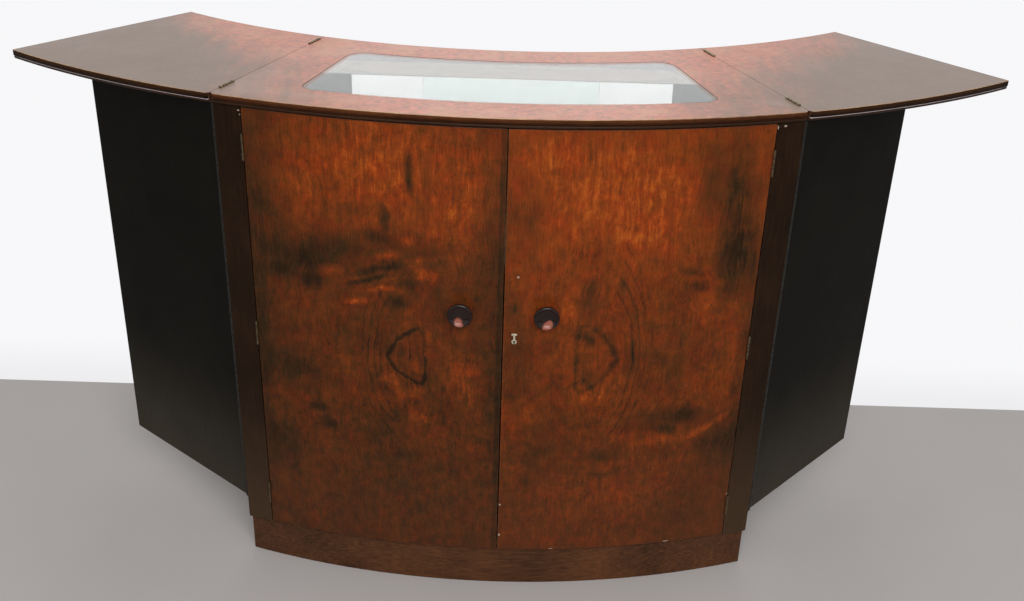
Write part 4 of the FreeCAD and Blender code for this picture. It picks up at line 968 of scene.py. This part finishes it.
def make_wall():
    """A white wall behind the cabinet, seen only by the camera and only from squarely in front,
    with painted shade along its foot.
    """
    material, lay, here, _ = new_finish("white_wall")
    # Painted shade: the wall is a little darker along its foot, where it meets the floor.
    foot = lay.ease(lay.parts(here)[2], 0.0, 0.16, 0.86, SKY_SEEN)
    bright = lay.add("Emission", {"Color": STUDIO_WHITE, "Strength": foot})
    facing = lay.math("SUBTRACT", lay.add("LightPath").outputs["Is Camera Ray"],
                      lay.add("NewGeometry").outputs["Backfacing"], clamp=True)
    aslant = lay.add("LayerWeight", {"Blend": 0.5}).outputs["Facing"]
    facing = lay.times(facing, lay.ease(aslant, 0.27, 0.42, 1.0, 0.0))
    mix_surface(lay, facing, lay.add("BsdfTransparent"), bright)
    upright = Matrix.Translation((0, WALL_Y, SHEET_SIZE)) @ Matrix.Rotation(math.pi / 2, 4, "X")
    stage_sheet("white_wall", upright, material)


def make_sky():
    """An even sky: one level as light, a higher one in mirrors and glass and for the camera."""
    world = bpy.data.worlds.new("studio")
    world.use_nodes = True
    bpy.context.scene.world = world
    lay = Layout(world.node_tree)
    rays = lay.add("LightPath").outputs
    mirrored = lay.math("MAXIMUM", rays["Is Glossy Ray"], rays["Is Transmission Ray"])
    strength = lay.plus(SKY_PLAIN, mirrored, SKY_MIRRORED - SKY_PLAIN)
    strength = lay.plus(strength, rays["Is Camera Ray"], SKY_SEEN - SKY_PLAIN)
    sky = lay.add("Background", {"Color": STUDIO_WHITE, "Strength": strength})
    lay.add("OutputWorld", {0: sky.outputs[0]})


def softbox(name, place, aim, width, height, radiance, colour=(1, 1, 1)):
    """A rectangular lamp of an even radiance, which the camera doesn't see itself."""
    lamp = bpy.data.lights.new(name, "AREA")
    lamp.shape = "RECTANGLE"
    lamp.size, lamp.size_y = width, height
    lamp.energy = radiance * width * height * math.pi
    lamp.color = colour
    holder = bpy.data.objects.new(name, lamp)
    holder.location = place
    holder.rotation_mode = "QUATERNION"
    holder.rotation_quaternion = (Vector(aim) - Vector(place)).to_track_quat("-Z", "Y")
    holder.visible_camera = False
    bpy.context.scene.collection.objects.link(holder)


def make_lights():
    """Soft light from the front and above, and the window that the pane mirrors, with its sill."""
    softbox("front_softbox", (0.3, -3.1, 2.75), (0, 0, 0.7), 2.2, 1.3, 9.5)
    softbox("overhead_softbox", (0, 0.2, 3.3), (0, 0.2, 0), 3.2, 2.0, 1.0)
    softbox("rear_softbox", (0, 3.6, 2.3), (0, 0, 2.3), 7.0, 2.6, 0.3, (1, 0.99, 0.97))
    softbox("sill_softbox", (0, 3.1, 2.004), (0, 0, 2.004), 1.9, 0.066, 0.62, (1, 0.9, 0.86))
    softbox("lower_sill_softbox", (0, 3.1, 1.95), (0, 0, 1.95), 1.9, 0.04, 0.46,
            (0.96, 0.91, 0.97))
    for name, left, right, colour in (("window_left", -0.76, -0.425, (1, 1, 1)),
                                      ("window_middle", -0.424, 0.404, (0.86, 0.96, 0.93)),
                                      ("window_right", 0.405, 0.75, (1, 1, 1))):
        middle = (left + right) / 2
        softbox(name, (middle, 3.0, 2.46), (middle, 0, 2.46), right - left, 0.9, 1.35, colour)


def make_camera():
    """The camera, from its place, its turn, its dip and its lean, all three in radians."""
    place, yaw, pitch, roll = (0.0105, -2.3953, 1.772), 0.0028, 0.4742, 0.032
    ahead = Vector((math.sin(yaw) * math.cos(pitch), math.cos(yaw) * math.cos(pitch),
                    -math.sin(pitch)))
    right = Vector((math.cos(yaw), -math.sin(yaw), 0))
    up = right.cross(ahead)
    leaning_right = math.cos(roll) * right + math.sin(roll) * up
    leaning_up = math.cos(roll) * up - math.sin(roll) * right
    lens = bpy.data.cameras.new("camera")
    lens.lens, lens.sensor_width = 41.47, 36.0
    camera = bpy.data.objects.new("camera", lens)
    camera.matrix_world = Matrix.Translation(place) @ Matrix(
        (leaning_right, leaning_up, -ahead)).transposed().to_4x4()
    bpy.context.scene.collection.objects.link(camera)
    bpy.context.scene.camera = camera


make_floor()
make_wall()
make_sky()
make_lights()
make_camera()
bpy.context.scene.view_settings.view_transform = "Standard"
